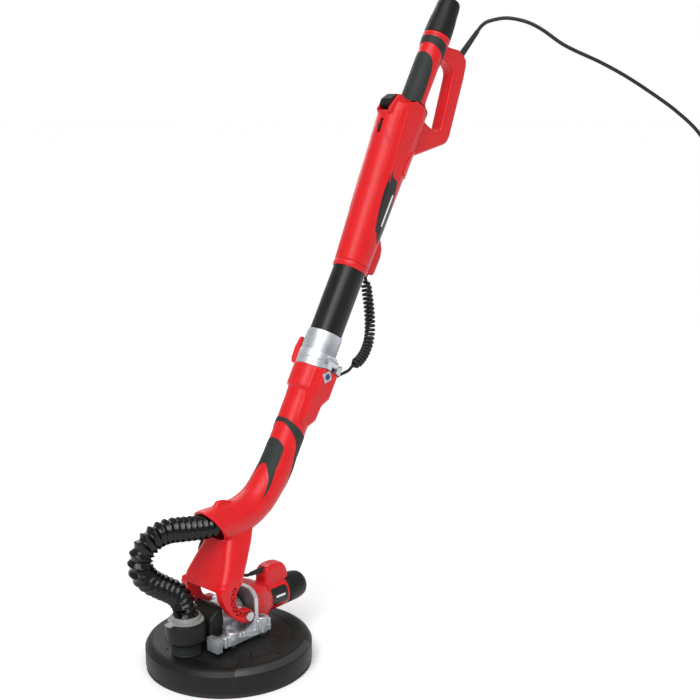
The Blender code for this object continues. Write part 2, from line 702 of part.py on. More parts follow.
CROWN = (
    (0.214, -0.010, 0.040, 0.0220),
    (0.190, -0.024, 0.027, 0.0310),
    (0.165, -0.036, 0.010, 0.0400),
    (0.145, -0.047, -0.003, 0.0457),
    (0.131, -0.052, -0.008, LEG_OUTER),
)
CROWN_HOLLOW = (
    (0.188, -0.012, 0.055, 0.0200),
    (0.178, -0.022, 0.052, 0.0270),
    (0.165, -0.030, 0.050, 0.0320),
    (0.145, -0.041, 0.050, LEG_INNER),
    (0.120, -0.050, 0.050, LEG_INNER),
)


def leg_outline():
    """One fork leg from the side: it curls under its pivot like a C."""
    outer = [(-0.0495, 0.138), (-0.052, 0.131), (-0.050, 0.121), (-0.043, 0.107), (-0.034, 0.094),
             (-0.023, 0.084), (-0.011, 0.0765)]
    foot = []
    for degrees in (-90, -60, -30, 0, 30, 60):
        angle = math.radians(degrees)
        foot.append((TILT_AXIS.x + 0.010 * math.cos(angle), TILT_AXIS.z + 0.010 * math.sin(angle)))
    return outer + foot + [(0.0, 0.0960), (-0.010, 0.138)]


def collar_boss(along, reach):
    """The flared side of the collar, which carries the fold hinge on its -Y side."""
    outline = [(-0.018, -0.015), (-0.018, -0.044), (0.012, -0.044), (0.028, -0.030), (0.028, -0.005)]
    return [tuple(pole(along, a * reach, b * reach)) for a, b in outline]


def half_space(sign):
    """Everything on one side of the seam between two half shells."""
    ends = sorted((-sign * GAP / 2.0, sign * 0.4))
    return block((-0.8, ends[0], -0.5), (1.2, ends[1], 1.6))


def build_arm(frame):
    for name, sign in (("arm_shell_left", 1.0), ("arm_shell_right", -1.0)):
        shell = add(name, arm_sweep(0.0, 0.0), RED, frame)
        join(shell, f"{name}_crown", loft(crown_rings(CROWN)), frame)
        ends = sorted((sign * LEG_INNER, sign * LEG_OUTER))
        join(shell, f"{name}_leg", prism(leg_outline(), ends[0], ends[1]), frame)
        boss = loft([collar_boss(0.400, 0.62), collar_boss(0.412, 0.80), collar_boss(0.436, 0.82),
                     collar_boss(0.450, 1.0), collar_boss(COLLAR_TOP - 0.0005, 1.0)])
        if sign < 0:
            join(shell, f"{name}_boss", boss, frame)
        cut(shell, f"{name}_bore", arm_sweep(ARM_WALL, 0.004), frame)
        cut(shell, f"{name}_hood", loft(crown_rings(CROWN_HOLLOW)), frame)
        cut(shell, f"{name}_gap", block((-0.09, -LEG_INNER, 0.06), (0.08, LEG_INNER, 0.1325)), frame)
        throat = turned(rod_profile(THROAT_RADIUS, -0.06, 0.06), 32, (THROAT_X, 0, THROAT_Z), "Y")
        cut(shell, f"{name}_throat", throat, frame)
        hole = turned(rod_profile(PIN_RADIUS + GAP, -0.06, 0.06), 16, TILT_AXIS, "Y")
        cut(shell, f"{name}_hole", hole, frame)
        cut(shell, f"{name}_side", half_space(-sign), frame)


def build_arm_trim(frame):
    band = turned(tube_profile(0.0241, ARM_RADIUS + 0.0004, 0.3864, 0.3976), SEGMENTS)
    add("lower_grip_band", band, RUBBER, frame)
    rows = ((0.328, 0.0263), (0.350, ARM_RADIUS + GAP), (0.378, ARM_RADIUS + GAP))
    inlay = shell_patch(rows, 0.0011, math.pi, math.radians(46.0), 10)
    add("lower_grip_inlay", inlay, RUBBER, frame)
    low = COLLAR_TOP + GAP
    high = FOLD_PLANE - GAP / 2.0
    ring = turned(tube_profile(0.0215, 0.0288, low, high), SEGMENTS)
    lower = add("hinge_ring_lower", ring, ALUMINIUM, frame)
    for i, (a, b) in enumerate(((-0.0160, -0.0063), (0.0063, 0.0160))):
        ear = block((a, FOLD_SIDE - 0.006, low), (b, -0.024, high))
        join(lower, f"lower_ear_{i}", ear, frame)
        knuckle = turned(rod_profile(0.0062, a, b), 16, (0, FOLD_SIDE, FOLD_PLANE), "X")
        join(lower, f"lower_knuckle_{i}", knuckle, frame)
    cut(lower, "lower_pin_hole", turned(rod_profile(0.0024, -0.03, 0.03), 12,
                                        (0, FOLD_SIDE, FOLD_PLANE), "X"), frame)
    step = 0.0013
    pin = [(0.0, -0.0178), (0.0038, -0.0178), (0.0038, -0.0178 + step), (0.0021, -0.0178 + step),
           (0.0021, 0.0163), (0.0038, 0.0163), (0.0038, 0.0178), (0.0, 0.0178)]
    add("fold_pin", turned(pin, 12, (0, FOLD_SIDE, FOLD_PLANE), "X"), STEEL, frame)


def build_latch(frame):
    """The over-centre lever that holds the fold joint shut, on the +Y side."""
    pivot = (0.0, 0.0345, 0.4935)
    outline = [(0.0302, 0.4895), (0.0380, 0.4890), (0.0420, 0.4960), (0.0430, 0.5150), (0.0400, 0.5310),
               (0.0360, 0.5330), (0.0335, 0.5200), (0.0302, 0.5050)]
    add("latch_lever", prism(outline, -0.0105, 0.0105, "X"), RED, frame, origin=pivot)


# ---- tube, upper housing and what is in it ------------------------------
HOUSING = (
    (HOUSING_LOW, 0.0272, 0.0), (0.6570, 0.0285, 0.0), (0.6640, 0.0286, 0.0), (0.6650, 0.0280, 0.0004),
    (0.720, 0.0288, 0.0050), (0.801, 0.0298, 0.0118), (0.870, 0.0300, 0.0188),
    (0.929, 0.0300, 0.0238, SHOULDER_DROP), (BODY_TOP, 0.0282, 0.0208, SHOULDER_DROP),
    (GRIP_LOW, 0.0215, 0.0025, SHOULDER_DROP), (0.966, GRIP_RADIUS, 0.0, SHOULDER_DROP),
    (1.000, GRIP_RADIUS, 0.0), (1.042, GRIP_RADIUS, 0.0), (1.050, 0.0213, 0.0), (HOUSING_TOP, 0.0232, 0.0),
)
CAVITY = (
    (0.645, TUBE_RADIUS + GAP, 0.0), (TUBE_TOP + 0.004, TUBE_RADIUS + GAP, 0.0), (0.712, 0.0265, 0.002),
    (0.801, 0.0270, 0.0085), (0.929, 0.0270, 0.0196, SHOULDER_DROP), (0.943, 0.0240, 0.0135, SHOULDER_DROP),
    (0.954, 0.0176, 0.0, SHOULDER_DROP), (1.085, 0.0176, 0.0),
)


def handle_outline():
    """The D-shaped rear handle, in distances across and along the pole."""
    outer = [(0.015, 0.868), (0.028, 0.870), (0.060, 0.8985), (0.089, 0.9250), (0.099, 0.9350),
             (0.1020, 0.9480), (0.0855, 1.0500), (0.0800, 1.0720), (0.0680, 1.0830), (0.0500, 1.0840),
             (0.0300, 1.0760), (0.015, 1.0720)]
    inner = [(0.015, 1.0500), (0.040, 1.0500), (0.0520, 1.0460), (0.0580, 1.0350), (0.0745, 0.9520),
             (0.0730, 0.9430), (0.0640, 0.9385), (0.0450, 0.9380), (0.015, 0.9400)]
    return outer + inner


def handle_hollow():
    """The hollow inside the handle, open where its two halves meet."""
    outer = [(0.034, 0.880), (0.060, 0.9030), (0.0860, 0.9270), (0.0950, 0.9370), (0.0978, 0.9480),
             (0.0815, 1.0500), (0.0765, 1.0695), (0.0662, 1.0790), (0.0510, 1.0800), (0.0300, 1.0715)]
    inner = [(0.0300, 1.0545), (0.0415, 1.0540), (0.0552, 1.0490), (0.0620, 1.0365), (0.0787, 0.9520),
             (0.0765, 0.9405), (0.0665, 0.9345), (0.0450, 0.9335), (0.034, 0.930)]
    return outer + inner


RELIEF_START = Vector((0.0665, 0.0, 1.0755))
RELIEF_LENGTH = 0.072
RELIEF_AIM = Vector((0.301, 0.0, 0.954)).normalized()


def relief_tube(name_radii):
    stations = [RELIEF_START + RELIEF_AIM * d for d, _ in name_radii]
    return swept(stations, [r for _, r in name_radii], 16)


def build_upper_shell(frame):
    outer = [housing_ring(*row) for row in HOUSING]
    inner = [housing_ring(*row) for row in CAVITY]
    outlet = [(0.012, 0.668), (0.012, 0.735), (0.0300, 0.7290), (0.0440, 0.7130), (0.0475, 0.7000),
              (0.0465, 0.6700), (0.0440, 0.6660)]
    for name, sign in (("upper_shell_left", 1.0), ("upper_shell_right", -1.0)):
        shell = add(name, loft(outer), RED, frame)
        join(shell, f"{name}_handle", prism(handle_outline(), -HANDLE_HALF, HANDLE_HALF), frame, 0.0065, 3)
        join(shell, f"{name}_outlet", prism(outlet, -0.0110, 0.0110), frame, 0.003)
        cut(shell, f"{name}_cavity", loft(inner), frame)
        cut(shell, f"{name}_handle_hollow", prism(handle_hollow(), -0.0090, 0.0090), frame)
        cut(shell, f"{name}_outlet_hole", turned(rod_profile(0.0042, 0.655, 0.690), 12, (0.0400, 0, 0)), frame)
        pocket = relief_tube(((-0.001, 0.0061), (0.020, 0.0061)))
        cut(shell, f"{name}_relief_pocket", pocket, frame)
        cut(shell, f"{name}_switch_slot", block((-0.075, -0.0106, 0.9105), (-0.040, 0.0106, 0.9430)), frame)
        cut(shell, f"{name}_dial_slot", block((-0.065, -0.0031, 0.8745), (-0.040, 0.0031, 0.8985)), frame)
        cut(shell, f"{name}_trigger_slot", block((0.016, -0.0061, 0.9415), (0.045, 0.0061, 0.9635)), frame)
        cut(shell, f"{name}_side", half_space(-sign), frame)


def build_upper(frame):
    low = FOLD_PLANE + GAP / 2.0
    step = low + 0.004
    ring = [(0.0215, low), (0.0290, low), (0.0290, SLEEVE_TOP - 0.002), (0.0280, SLEEVE_TOP),
            (TUBE_RADIUS + GAP, SLEEVE_TOP), (TUBE_RADIUS + GAP, step), (0.0215, step)]
    upper = add("hinge_ring_upper", turned(ring, SEGMENTS), ALUMINIUM, frame)
    ear = block((-0.0060, FOLD_SIDE, low), (0.0060, -0.0265, low + 0.010))
    join(upper, "upper_ear", ear, frame)
    knuckle = turned(rod_profile(0.0060, -0.0060, 0.0060), 16, (0, FOLD_SIDE, FOLD_PLANE), "X")
    join(upper, "upper_knuckle", knuckle, frame)
    cut(upper, "upper_pin_hole", turned(rod_profile(0.0024, -0.02, 0.02), 12,
                                        (0, FOLD_SIDE, FOLD_PLANE), "X"), frame)
    tube = turned(tube_profile(TUBE_RADIUS - TUBE_WALL, TUBE_RADIUS, step + GAP, TUBE_TOP), SEGMENTS)
    add("pole_tube", tube, BLACK, frame)
    build_upper_shell(frame)
    duct = turned(tube_profile(0.0140, 0.0155, TUBE_TOP + 0.010, 1.0580), 24)
    add("inner_duct", duct, BLACK, frame)
    add("speed_controller", block((-0.0335, -0.0110, 0.812), (-0.0175, 0.0110, 0.870)), BLACK, frame)
    rows = ((0.958, GRIP_RADIUS + GAP), (1.040, GRIP_RADIUS + GAP))
    inlay = shell_patch(rows, 0.0011, math.pi, math.radians(62.0), 14)
    add("upper_grip_inlay", inlay, RUBBER, frame)
    rows = ((1.0540, 0.0220), (1.0660, 0.0229))
    band = shell_patch(rows, 0.0010, math.pi, math.radians(105.0), 22)
    add("upper_grip_band", band, RUBBER, frame)


def build_controls(frame):
    switch = [(-0.0560, 0.9190), (-0.0440, 0.9165), (-0.0440, 0.9425), (-0.0475, 0.9425), (-0.0560, 0.9290)]
    add("power_switch", prism(switch, -0.0100, 0.0100), BLACK, frame, origin=(-0.050, 0, 0.930))
    centre = (-0.0418, 0.0, 0.8865)
    wheel = add("speed_dial", turned(rod_profile(0.0110, -0.0026, 0.0026), 24, centre, "Y"), BLACK, frame,
                origin=centre)
    cut(wheel, "dial_bore", turned(rod_profile(0.0015, -0.01, 0.01), 8, centre, "Y"), frame)
    trigger = [(0.0215, 0.9440), (0.0330, 0.9440), (0.0375, 0.9490), (0.0375, 0.9560), (0.0330, 0.9610),
               (0.0215, 0.9610)]
    add("trigger", prism(trigger, -0.0055, 0.0055), BLACK, frame, origin=(0.030, 0, 0.952))


def build_connector(frame):
    low = HOUSING_TOP + GAP
    profile = [(0.0160, 1.0600), (0.0172, 1.0600), (0.0172, low), (0.0230, low), (0.0228, 1.0900),
               (0.0205, 1.1250), (0.0190, 1.1380), (0.0175, CONNECTOR_TOP), (0.0160, CONNECTOR_TOP)]
    add("hose_connector", turned(profile, SEGMENTS), BLACK, frame, origin=(0, 0, 1.10))


# ---- cords and hoses ----------------------------------------------------
DUST_HOSE_ROUTE = (
    (-0.0240, 0.000, 0.2210), (-0.0450, 0.000, 0.2230), (-0.0800, 0.000, 0.2290), (-0.1120, 0.000, 0.2340),
    (-0.1380, 0.000, 0.2290), (-0.1560, 0.000, 0.2120), (-0.1580, 0.000, 0.1890), (-0.1430, 0.000, 0.1690),
    (-0.1200, 0.000, 0.1520), (-0.0980, 0.000, 0.1360), (-0.0850, 0.000, 0.1170), (PORT_X, 0.000, 0.1000),
    (PORT_X, 0.000, 0.0800),
)
MOTOR_CABLE_ROUTE = (
    (0.0450, 0.0000, 0.1240), (0.0370, 0.0008, 0.1242), (0.0250, 0.0150, 0.1275), (0.0130, 0.0380, 0.1350),
    (0.0000, 0.0530, 0.1450), (-0.0060, 0.0570, 0.1600), (-0.0040, 0.0530, 0.1770), (0.0000, 0.0430, 0.1940),
    (0.0030, 0.0290, 0.2105),
)
CURLY_ROUTE = (
    (0.3035, 0.0000, 0.5510), (0.3065, -0.0010, 0.5300), (0.3080, -0.0040, 0.5050), (0.3060, -0.0080, 0.4800),
    (0.2980, -0.0140, 0.4570), (0.2830, -0.0200, 0.4390), (0.2620, -0.0260, 0.4270), (0.2400, -0.0300, 0.4210),
)
MAINS_ROUTE = (
    (0.6000, -0.0010, 0.9585), (0.6110, -0.0070, 0.9650), (0.6320, -0.0280, 0.9700), (0.6520, -0.0550, 0.9635),
    (0.6670, -0.0780, 0.9500), (0.6850, -0.1040, 0.9280), (0.7015, -0.1231, 0.9150), (0.7310, -0.1548, 0.8960),
    (0.7612, -0.1870, 0.8730), (0.7912, -0.2195, 0.8457), (0.8240, -0.2540, 0.8130), (0.8526, -0.2853, 0.7740),
    (0.8730, -0.3090, 0.7200), (0.8880, -0.3270, 0.6400), (0.8960, -0.3380, 0.5400), (0.8980, -0.3440, 0.4300),
    (0.8960, -0.3480, 0.3200), (0.8900, -0.3510, 0.2100), (0.8830, -0.3540, 0.1300), (0.8800, -0.3565, 0.0800),
    (0.8850, -0.3580, 0.0460), (0.9020, -0.3590, 0.0262), (0.9220, -0.3620, 0.0240),
)


def build_cords(arm_frame, upper_frame):
    cable("dust_hose", DUST_HOSE_ROUTE, HOSE_DIAMETER, 22, HOSE, arm_frame, 4)
    cable("motor_cable", MOTOR_CABLE_ROUTE, MOTOR_CABLE_DIAMETER, 18, CORD, arm_frame)
    cable("curly_cord", CURLY_ROUTE, CURLY_DIAMETER, 14, CORD, upper_frame)
    aim = POLE_MATRIX.to_3x3() @ RELIEF_AIM
    tip = POLE_MATRIX @ (RELIEF_START + RELIEF_AIM * (RELIEF_LENGTH + GAP))
    route = (tip, tip + aim * 0.009) + MAINS_ROUTE
    cable("mains_cord", route, CORD_DIAMETER, 66, CORD, upper_frame)
    inner = COIL_MEAN_RADIUS - COIL_HALF_WIDTH
    outer = COIL_MEAN_RADIUS + COIL_HALF_WIDTH
    profile = tube_profile(inner, outer, 0.0, COIL_HEIGHT)
    add("cord_coil", turned(profile, 28, COIL_CENTRE), CORD, upper_frame)


def build_plug(frame):
    """A plain two-pin plug lying on the floor beside the coil, with its cable end towards it."""
    centre = COIL_CENTRE + Vector((0.068, 0.048, 0.0125))
    rings = []
    for x, half_y, half_z, corner in ((-0.019, 0.0055, 0.0055, 0.005), (-0.010, 0.0080, 0.0070, 0.005),
                                      (0.004, 0.0165, 0.0115, 0.005), (0.018, 0.0165, 0.0115, 0.005)):
        rings.append([(centre.x + x, centre.y + y, centre.z + z)
                      for y, z in rounded_section(half_y, half_z, corner, 3)])
    add("plug", loft(rings), CORD, frame)
    for name, side in (("left", -0.0093), ("right", 0.0093)):
        pin = turned(rod_profile(0.0020, 0.0183, 0.0370, 0.0008), 12,
                     (centre.x, centre.y + side, centre.z), "X")
        add(f"plug_pin_{name}", pin, BRASS, frame)


def build_relief(frame):
    radii = ((0.0, 0.0057), (0.014, 0.0057), (0.026, 0.0054), (0.048, 0.0046), (RELIEF_LENGTH, 0.0039))
    add("cord_relief", relief_tube(radii), RUBBER, frame)


# ---- assembly -----------------------------------------------------------
def main():
    build_pad()
    build_armature()
    build_head()
    build_motor()
    build_duct()
    build_shroud()
    tilt = empty("tilt_axis", TILT_AXIS)
    arm = Frame(tilt, TILT_AXIS)
    build_arm(arm)
    arm_pole_marker = empty("arm_pole", POLE_FOOT - TILT_AXIS, True, tilt)
    arm_pole = Frame(arm_pole_marker)
    build_arm_trim(arm_pole)
    build_latch(arm_pole)
    pin = Vector((0.0, FOLD_SIDE, FOLD_PLANE))
    fold = empty("fold_axis", pin, False, arm_pole_marker)
    upper_pole = Frame(fold, pin)
    build_upper(upper_pole)
    build_controls(upper_pole)
    build_connector(upper_pole)
    build_relief(upper_pole)
    pin_point = POLE_MATRIX @ pin
    level = Frame(empty("fold_level", pin_point), pin_point)
    build_cords(arm, level)
    build_plug(level)


main()
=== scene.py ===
"""Looks of the pole drywall sander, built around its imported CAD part.

Everything is in metres in the part's frame: the origin is the centre of the abrasive
face on the floor, +Z is up and +X points to the motor. The pole has a frame of its own,
with local X across it, local Z along it, and Y shared.
"""

from math import cos, hypot, pi, radians, sin, sqrt

import bmesh
import bpy
from mathutils import Matrix, Vector


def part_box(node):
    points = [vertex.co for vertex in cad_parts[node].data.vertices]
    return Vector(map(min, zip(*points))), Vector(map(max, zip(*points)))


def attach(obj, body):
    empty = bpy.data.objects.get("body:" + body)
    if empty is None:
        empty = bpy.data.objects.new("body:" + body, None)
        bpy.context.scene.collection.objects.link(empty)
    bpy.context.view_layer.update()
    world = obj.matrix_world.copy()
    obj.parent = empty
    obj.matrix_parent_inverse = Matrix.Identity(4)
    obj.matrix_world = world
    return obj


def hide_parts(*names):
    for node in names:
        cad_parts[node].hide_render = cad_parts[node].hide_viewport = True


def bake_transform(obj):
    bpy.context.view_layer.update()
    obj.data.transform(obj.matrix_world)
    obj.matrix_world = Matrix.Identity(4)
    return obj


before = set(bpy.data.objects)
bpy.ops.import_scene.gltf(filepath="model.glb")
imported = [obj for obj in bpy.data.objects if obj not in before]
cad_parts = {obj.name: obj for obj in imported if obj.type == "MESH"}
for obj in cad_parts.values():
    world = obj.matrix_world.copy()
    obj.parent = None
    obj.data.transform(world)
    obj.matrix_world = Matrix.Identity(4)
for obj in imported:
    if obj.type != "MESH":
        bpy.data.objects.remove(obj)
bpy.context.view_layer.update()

LEAN = radians(30.0)
POLE = Matrix.Translation((-0.0617, 0.0, 0.0)) @ Matrix.Rotation(LEAN, 4, "Y")
TILT = Vector((0.0, 0.0, 0.084))
PORT_X = -0.082
MOTOR_AXIS = 0.08
CABLE_HEIGHT = 0.124
HOSE_DIAMETER = 0.037
CORD_DIAMETER = 0.0064
CURLY_WIRE = 0.0052
COIL = Vector((0.905, -0.395, 0.0))
UP = Matrix.Identity(4)
SHOULDER_DROP = 0.012
SHOULDER_START = 0.87
SHOULDER_RISE = 0.059
SHOULDER_END = 1.0
SHOULDER_FALL = 0.034
DROP_REACH = 0.6
SEAM_LOW = -0.00017
SEAM_HIGH = 0.00013
FLANGE_HEIGHT = 0.087
FLOOR_HALF = 60.0
FLOOR_DROP = 0.0002
WALL_LIGHT = 0.5
SUN_POWER = 2.35
SUN_SPREAD = radians(50.0)
SUN_AIM = (0.55, 0.45, -1.0)
LENS = 61.714
CAMERA_PLACE = (-1.11063, -1.2852, 0.82229)
CAMERA_AIM = (0.71667, 0.66831, -0.19937)
HINGE = (0.0, -0.039, 0.5)
STUDS_X = (-0.03, 0.028)
STUD_Y = 0.041
PATCH_SINK = -0.0008
PATCH_LIFT = 0.0006


def pole(along, across=0.0, side=0.0):
    return POLE @ Vector((across, side, along))


def linked(name, data, place=None, aim=None):
    """Puts a new object in the scene, at a place and looking along aim."""
    made = bpy.data.objects.new(name, data)
    bpy.context.collection.objects.link(made)
    if place is not None:
        made.location = place
    if aim is not None:
        made.rotation_euler = Vector(aim).to_track_quat("-Z", "Y").to_euler()
    return made


# ---- camera and light ---------------------------------------------------
def build_camera():
    data = bpy.data.cameras.new("camera")
    data.sensor_width = 36.0
    data.lens = LENS
    bpy.context.scene.camera = linked("camera", data, CAMERA_PLACE, CAMERA_AIM)


def area_light(name, place, aim, size, power):
    data = bpy.data.lights.new(name, "AREA")
    data.shape = "RECTANGLE"
    data.size = size[0]
    data.size_y = size[1]
    data.energy = power
    linked(name, data, place, Vector(aim) - Vector(place))


def build_light():
    """A white studio whose walls give less light than they show, a broad sun and two soft boxes."""
    world = bpy.data.worlds.new("studio")
    world.use_nodes = True
    bpy.context.scene.world = world
    tree = world.node_tree
    sky = tree.nodes["Background"]
    sky.inputs["Color"].default_value = (1.0, 1.0, 1.0, 1.0)
    rays = add_node(tree, "LightPath")
    strength = add_node(tree, "MapRange", To_Min=WALL_LIGHT, To_Max=1.0)
    tree.links.new(rays.outputs["Is Camera Ray"], strength.inputs["Value"])
    tree.links.new(strength.outputs["Result"], sky.inputs["Strength"])
    data = bpy.data.lights.new("sun", "SUN")
    data.energy = SUN_POWER
    data.angle = SUN_SPREAD
    linked("sun", data, aim=SUN_AIM)
    area_light("key", (-1.7, -0.9, 1.6), (0.15, 0.0, 0.45), (0.5, 1.6), 9.0)
    area_light("rim", (0.9, 1.6, 1.5), (0.2, 0.0, 0.4), (0.8, 1.4), 8.0)
    bpy.context.scene.view_settings.view_transform = "Standard"
    bpy.context.scene.view_settings.look = "None"


def build_floor():
    size = FLOOR_HALF
    mesh = bpy.data.meshes.new("floor")
    mesh.from_pydata([(-size, -size, 0), (size, -size, 0), (size, size, 0), (-size, size, 0)], [],
        [(0, 1, 2, 3)])
    floor = linked("floor", mesh, (0.0, 0.0, -FLOOR_DROP))
    mesh.materials.append(finish("floor_paper", (0.93, 0.93, 0.93), 0.9, variation=0.01, scale=3.0, bump=0.02))


# ---- materials ----------------------------------------------------------
def add_node(tree, kind, **values):
    """Adds a shader node and sets its inputs; an underscore in a name stands for a space."""
    made = tree.nodes.new("ShaderNode" + kind)
    for name, value in values.items():
        made.inputs[name.replace("_", " ")].default_value = value
    return made


def finish(name, colour, roughness, metallic=0.0, variation=0.06, scale=60.0, grain=1800.0, bump=0.12,
        spread=0.08, wear=0.0, alpha=1.0, specular=0.5):
    """A procedural finish: blotches in colour and gloss, a fine grain in relief, and paler edges."""
    made = bpy.data.materials.new(name)
    made.use_nodes = True
    tree = made.node_tree
    shader = tree.nodes["Principled BSDF"]
    for socket, value in (("Metallic", metallic), ("Alpha", alpha), ("Specular IOR Level", specular)):
        shader.inputs[socket].default_value = value
    place = add_node(tree, "TexCoord").outputs["Object"]
    blotch = add_node(tree, "TexNoise", Scale=scale, Detail=5.0)
    tree.links.new(place, blotch.inputs["Vector"])
    ramp = add_node(tree, "ValToRGB")
    for stop, position, share in zip(ramp.color_ramp.elements, (0.32, 0.7), (1.0 - variation, 1.0 + variation)):
        stop.position = position
        stop.color = (*[min(1.0, c * share) for c in colour], 1.0)
    tree.links.new(blotch.outputs["Fac"], ramp.inputs["Fac"])
    shade = ramp.outputs["Color"]
    if wear:
        limit = add_node(tree, "MapRange", From_Min=0.53, From_Max=0.62, To_Max=wear)
        tree.links.new(add_node(tree, "NewGeometry").outputs["Pointiness"], limit.inputs["Value"])
        mix = add_node(tree, "MixRGB", Color2=(*[min(1.0, c * 1.4 + 0.09) for c in colour], 1.0))
        tree.links.new(limit.outputs["Result"], mix.inputs["Fac"])
        tree.links.new(shade, mix.inputs["Color1"])
        shade = mix.outputs["Color"]
    tree.links.new(shade, shader.inputs["Base Color"])
    gloss = add_node(tree, "MapRange", To_Min=max(0.02, roughness - spread),
        To_Max=min(1.0, roughness + spread))
    tree.links.new(blotch.outputs["Fac"], gloss.inputs["Value"])
    tree.links.new(gloss.outputs["Result"], shader.inputs["Roughness"])
    fine = add_node(tree, "TexNoise", Scale=grain, Detail=3.0)
    tree.links.new(place, fine.inputs["Vector"])
    relief = add_node(tree, "Bump", Strength=bump, Distance=0.0004)
    tree.links.new(fine.outputs["Fac"], relief.inputs["Height"])
    tree.links.new(relief.outputs["Normal"], shader.inputs["Normal"])
    return made


build_camera()
RED = finish("red_plastic", (0.59, 0.008, 0.012), 0.34, variation=0.05, wear=0.12, specular=0.3, bump=0.1)
BLACK = finish("black_plastic", (0.006, 0.0068, 0.0056), 0.44, variation=0.2, wear=0.1, specular=0.22,
    bump=0.22)
# Painted highlight: a paler near-black for the lit, upward-facing rim of the shroud segment.
RIM_HIGHLIGHT = finish("rim_painted_highlight", (0.024, 0.026, 0.024), 0.42, variation=0.12, specular=0.4, bump=0.15)
RUBBER = finish("grip_rubber", (0.016, 0.022, 0.019), 0.62, variation=0.12, specular=0.3, bump=0.45,
    grain=900.0)
ALUMINIUM = finish("cast_aluminium", (0.46, 0.48, 0.51), 0.46, 0.9, 0.12, 90.0, 1400.0, 0.4, 0.1, wear=0.5)
STEEL = finish("ground_steel", (0.52, 0.53, 0.55), 0.28, 1.0, 0.1, 140.0, 2600.0, 0.15, 0.08)
BOLT = finish("blued_bolt", (0.035, 0.06, 0.14), 0.3, 0.85, 0.15, 200.0, 2600.0, 0.12, 0.08)
COPPER = finish("copper_winding", (0.6, 0.27, 0.14), 0.38, 1.0, 0.15, 160.0, 2600.0, 0.3, 0.1)
VINYL = finish("hose_vinyl", (0.0015, 0.0017, 0.0016), 0.15, 0.0, 0.25, 120.0, 900.0, 0.08, 0.06, specular=0.32)
CLEAR = finish("clear_ring", (0.45, 0.46, 0.44), 0.12, 0.0, 0.05, 60.0, 900.0, 0.06, 0.05, alpha=0.38)
FOAM = finish("pad_foam", (0.05, 0.05, 0.055), 0.92, 0.0, 0.25, 220.0, 1400.0, 0.8, 0.05)
GRIT = finish("abrasive_paper", (0.4, 0.31, 0.2), 0.95, 0.0, 0.3, 900.0, 5200.0, 1.0, 0.04)
BRISTLE = finish("black_bristle", (0.012, 0.012, 0.012), 0.75, 0.0, 0.4, 800.0, 3000.0, 0.9, 0.1)
TUBE = finish("anodised_tube", (0.007, 0.009, 0.007), 0.3, 0.05, 0.14, 40.0, 1500.0, 0.05, 0.06, specular=0.28)
LEAD = finish("cord_rubber", (0.007, 0.007, 0.007), 0.44, 0.0, 0.15, 120.0, 1600.0, 0.25, 0.08, specular=0.35)
BRASS = finish("plug_brass", (0.72, 0.58, 0.3), 0.26, 1.0, 0.08, 120.0, 2600.0, 0.1, 0.06)
LABEL = finish("label_film", (0.012, 0.012, 0.013), 0.26, 0.0, 0.06, 80.0, 2000.0, 0.04, 0.04, specular=0.35)
SILVER = finish("label_bar", (0.7, 0.71, 0.72), 0.35, 0.0, 0.05, 160.0, 2600.0, 0.06, 0.05)
DARK = finish("dark_recess", (0.01, 0.009, 0.009), 0.7, 0.0, 0.2, 90.0, 1400.0, 0.25, 0.06)


# ---- mesh helpers -------------------------------------------------------
def circle(radius, count):
    step = 2.0 * pi / count
    return [(radius * cos(i * step), radius * sin(i * step)) for i in range(count)]


def turned(profile, count=96, centre=(0.0, 0.0, 0.0), axis="Z", shape=None):
    """A solid turned from a closed (radius, height) profile; shape may change a radius."""
    verts = []
    faces = []
    centre = Vector(centre)
    size = len(profile)
    for i in range(count):
        angle = 2.0 * pi * i / count
        for radius, height in profile:
            if shape is not None and radius > 1e-9:
                radius = shape(radius, height, angle)
            a = radius * cos(angle)
            b = radius * sin(angle)
            point = {"Z": (a, b, height), "X": (height, a, b), "Y": (b, height, a)}[axis]
            verts.append(centre + Vector(point))
    for i in range(count):
        other = (i + 1) % count
        for j in range(size):
            following = (j + 1) % size
            if profile[j][0] < 1e-9 and profile[following][0] < 1e-9:
                continue
            corner = [i * size + j, other * size + j, other * size + following, i * size + following]
            if profile[j][0] < 1e-9:
                corner = [corner[0], corner[2], corner[3]]
            elif profile[following][0] < 1e-9:
                corner = corner[:3]
            faces.append(corner)
    return verts, faces


def ring(inner, outer, low, high):
    return [(inner, low), (outer, low), (outer, high), (inner, high)]


def rod(radius, low, high, edge=0.0):
    if edge:
        return [(0.0, low), (radius - edge, low), (radius, low + edge), (radius, high - edge),
            (radius - edge, high), (0.0, high)]
    return [(0.0, low), (radius, low), (radius, high), (0.0, high)]


def loft(rings):
    count = len(rings[0])
    verts = [Vector(point) for one in rings for point in one]
    faces = []
    for k in range(len(rings) - 1):
        for i in range(count):
            other = (i + 1) % count
            faces.append([k * count + i, k * count + other, (k + 1) * count + other, (k + 1) * count + i])
    faces.append(list(range(count)))
    faces.append([(len(rings) - 1) * count + i for i in range(count)])
    return verts, faces


def prism(outline, low, high, across="Y"):
    rings = []
    for level in (low, high):
        if across == "Y":
            rings.append([(a, level, b) for a, b in outline])
        elif across == "Z":
            rings.append([(a, b, level) for a, b in outline])
        else:
            rings.append([(level, a, b) for a, b in outline])
    return loft(rings)


def block(low, high):
    outline = [(low[0], low[1]), (high[0], low[1]), (high[0], high[1]), (low[0], high[1])]
    return prism(outline, low[2], high[2], "Z")


def rounded(half_a, half_b, corner, steps=8):
    points = []
    for quarter, (a, b) in enumerate(((1, 1), (-1, 1), (-1, -1), (1, -1))):
        for k in range(steps + 1):
            angle = radians(90.0 * (quarter + k / steps))
            points.append((a * (half_a - corner) + corner * cos(angle),
                b * (half_b - corner) + corner * sin(angle)))
    return points


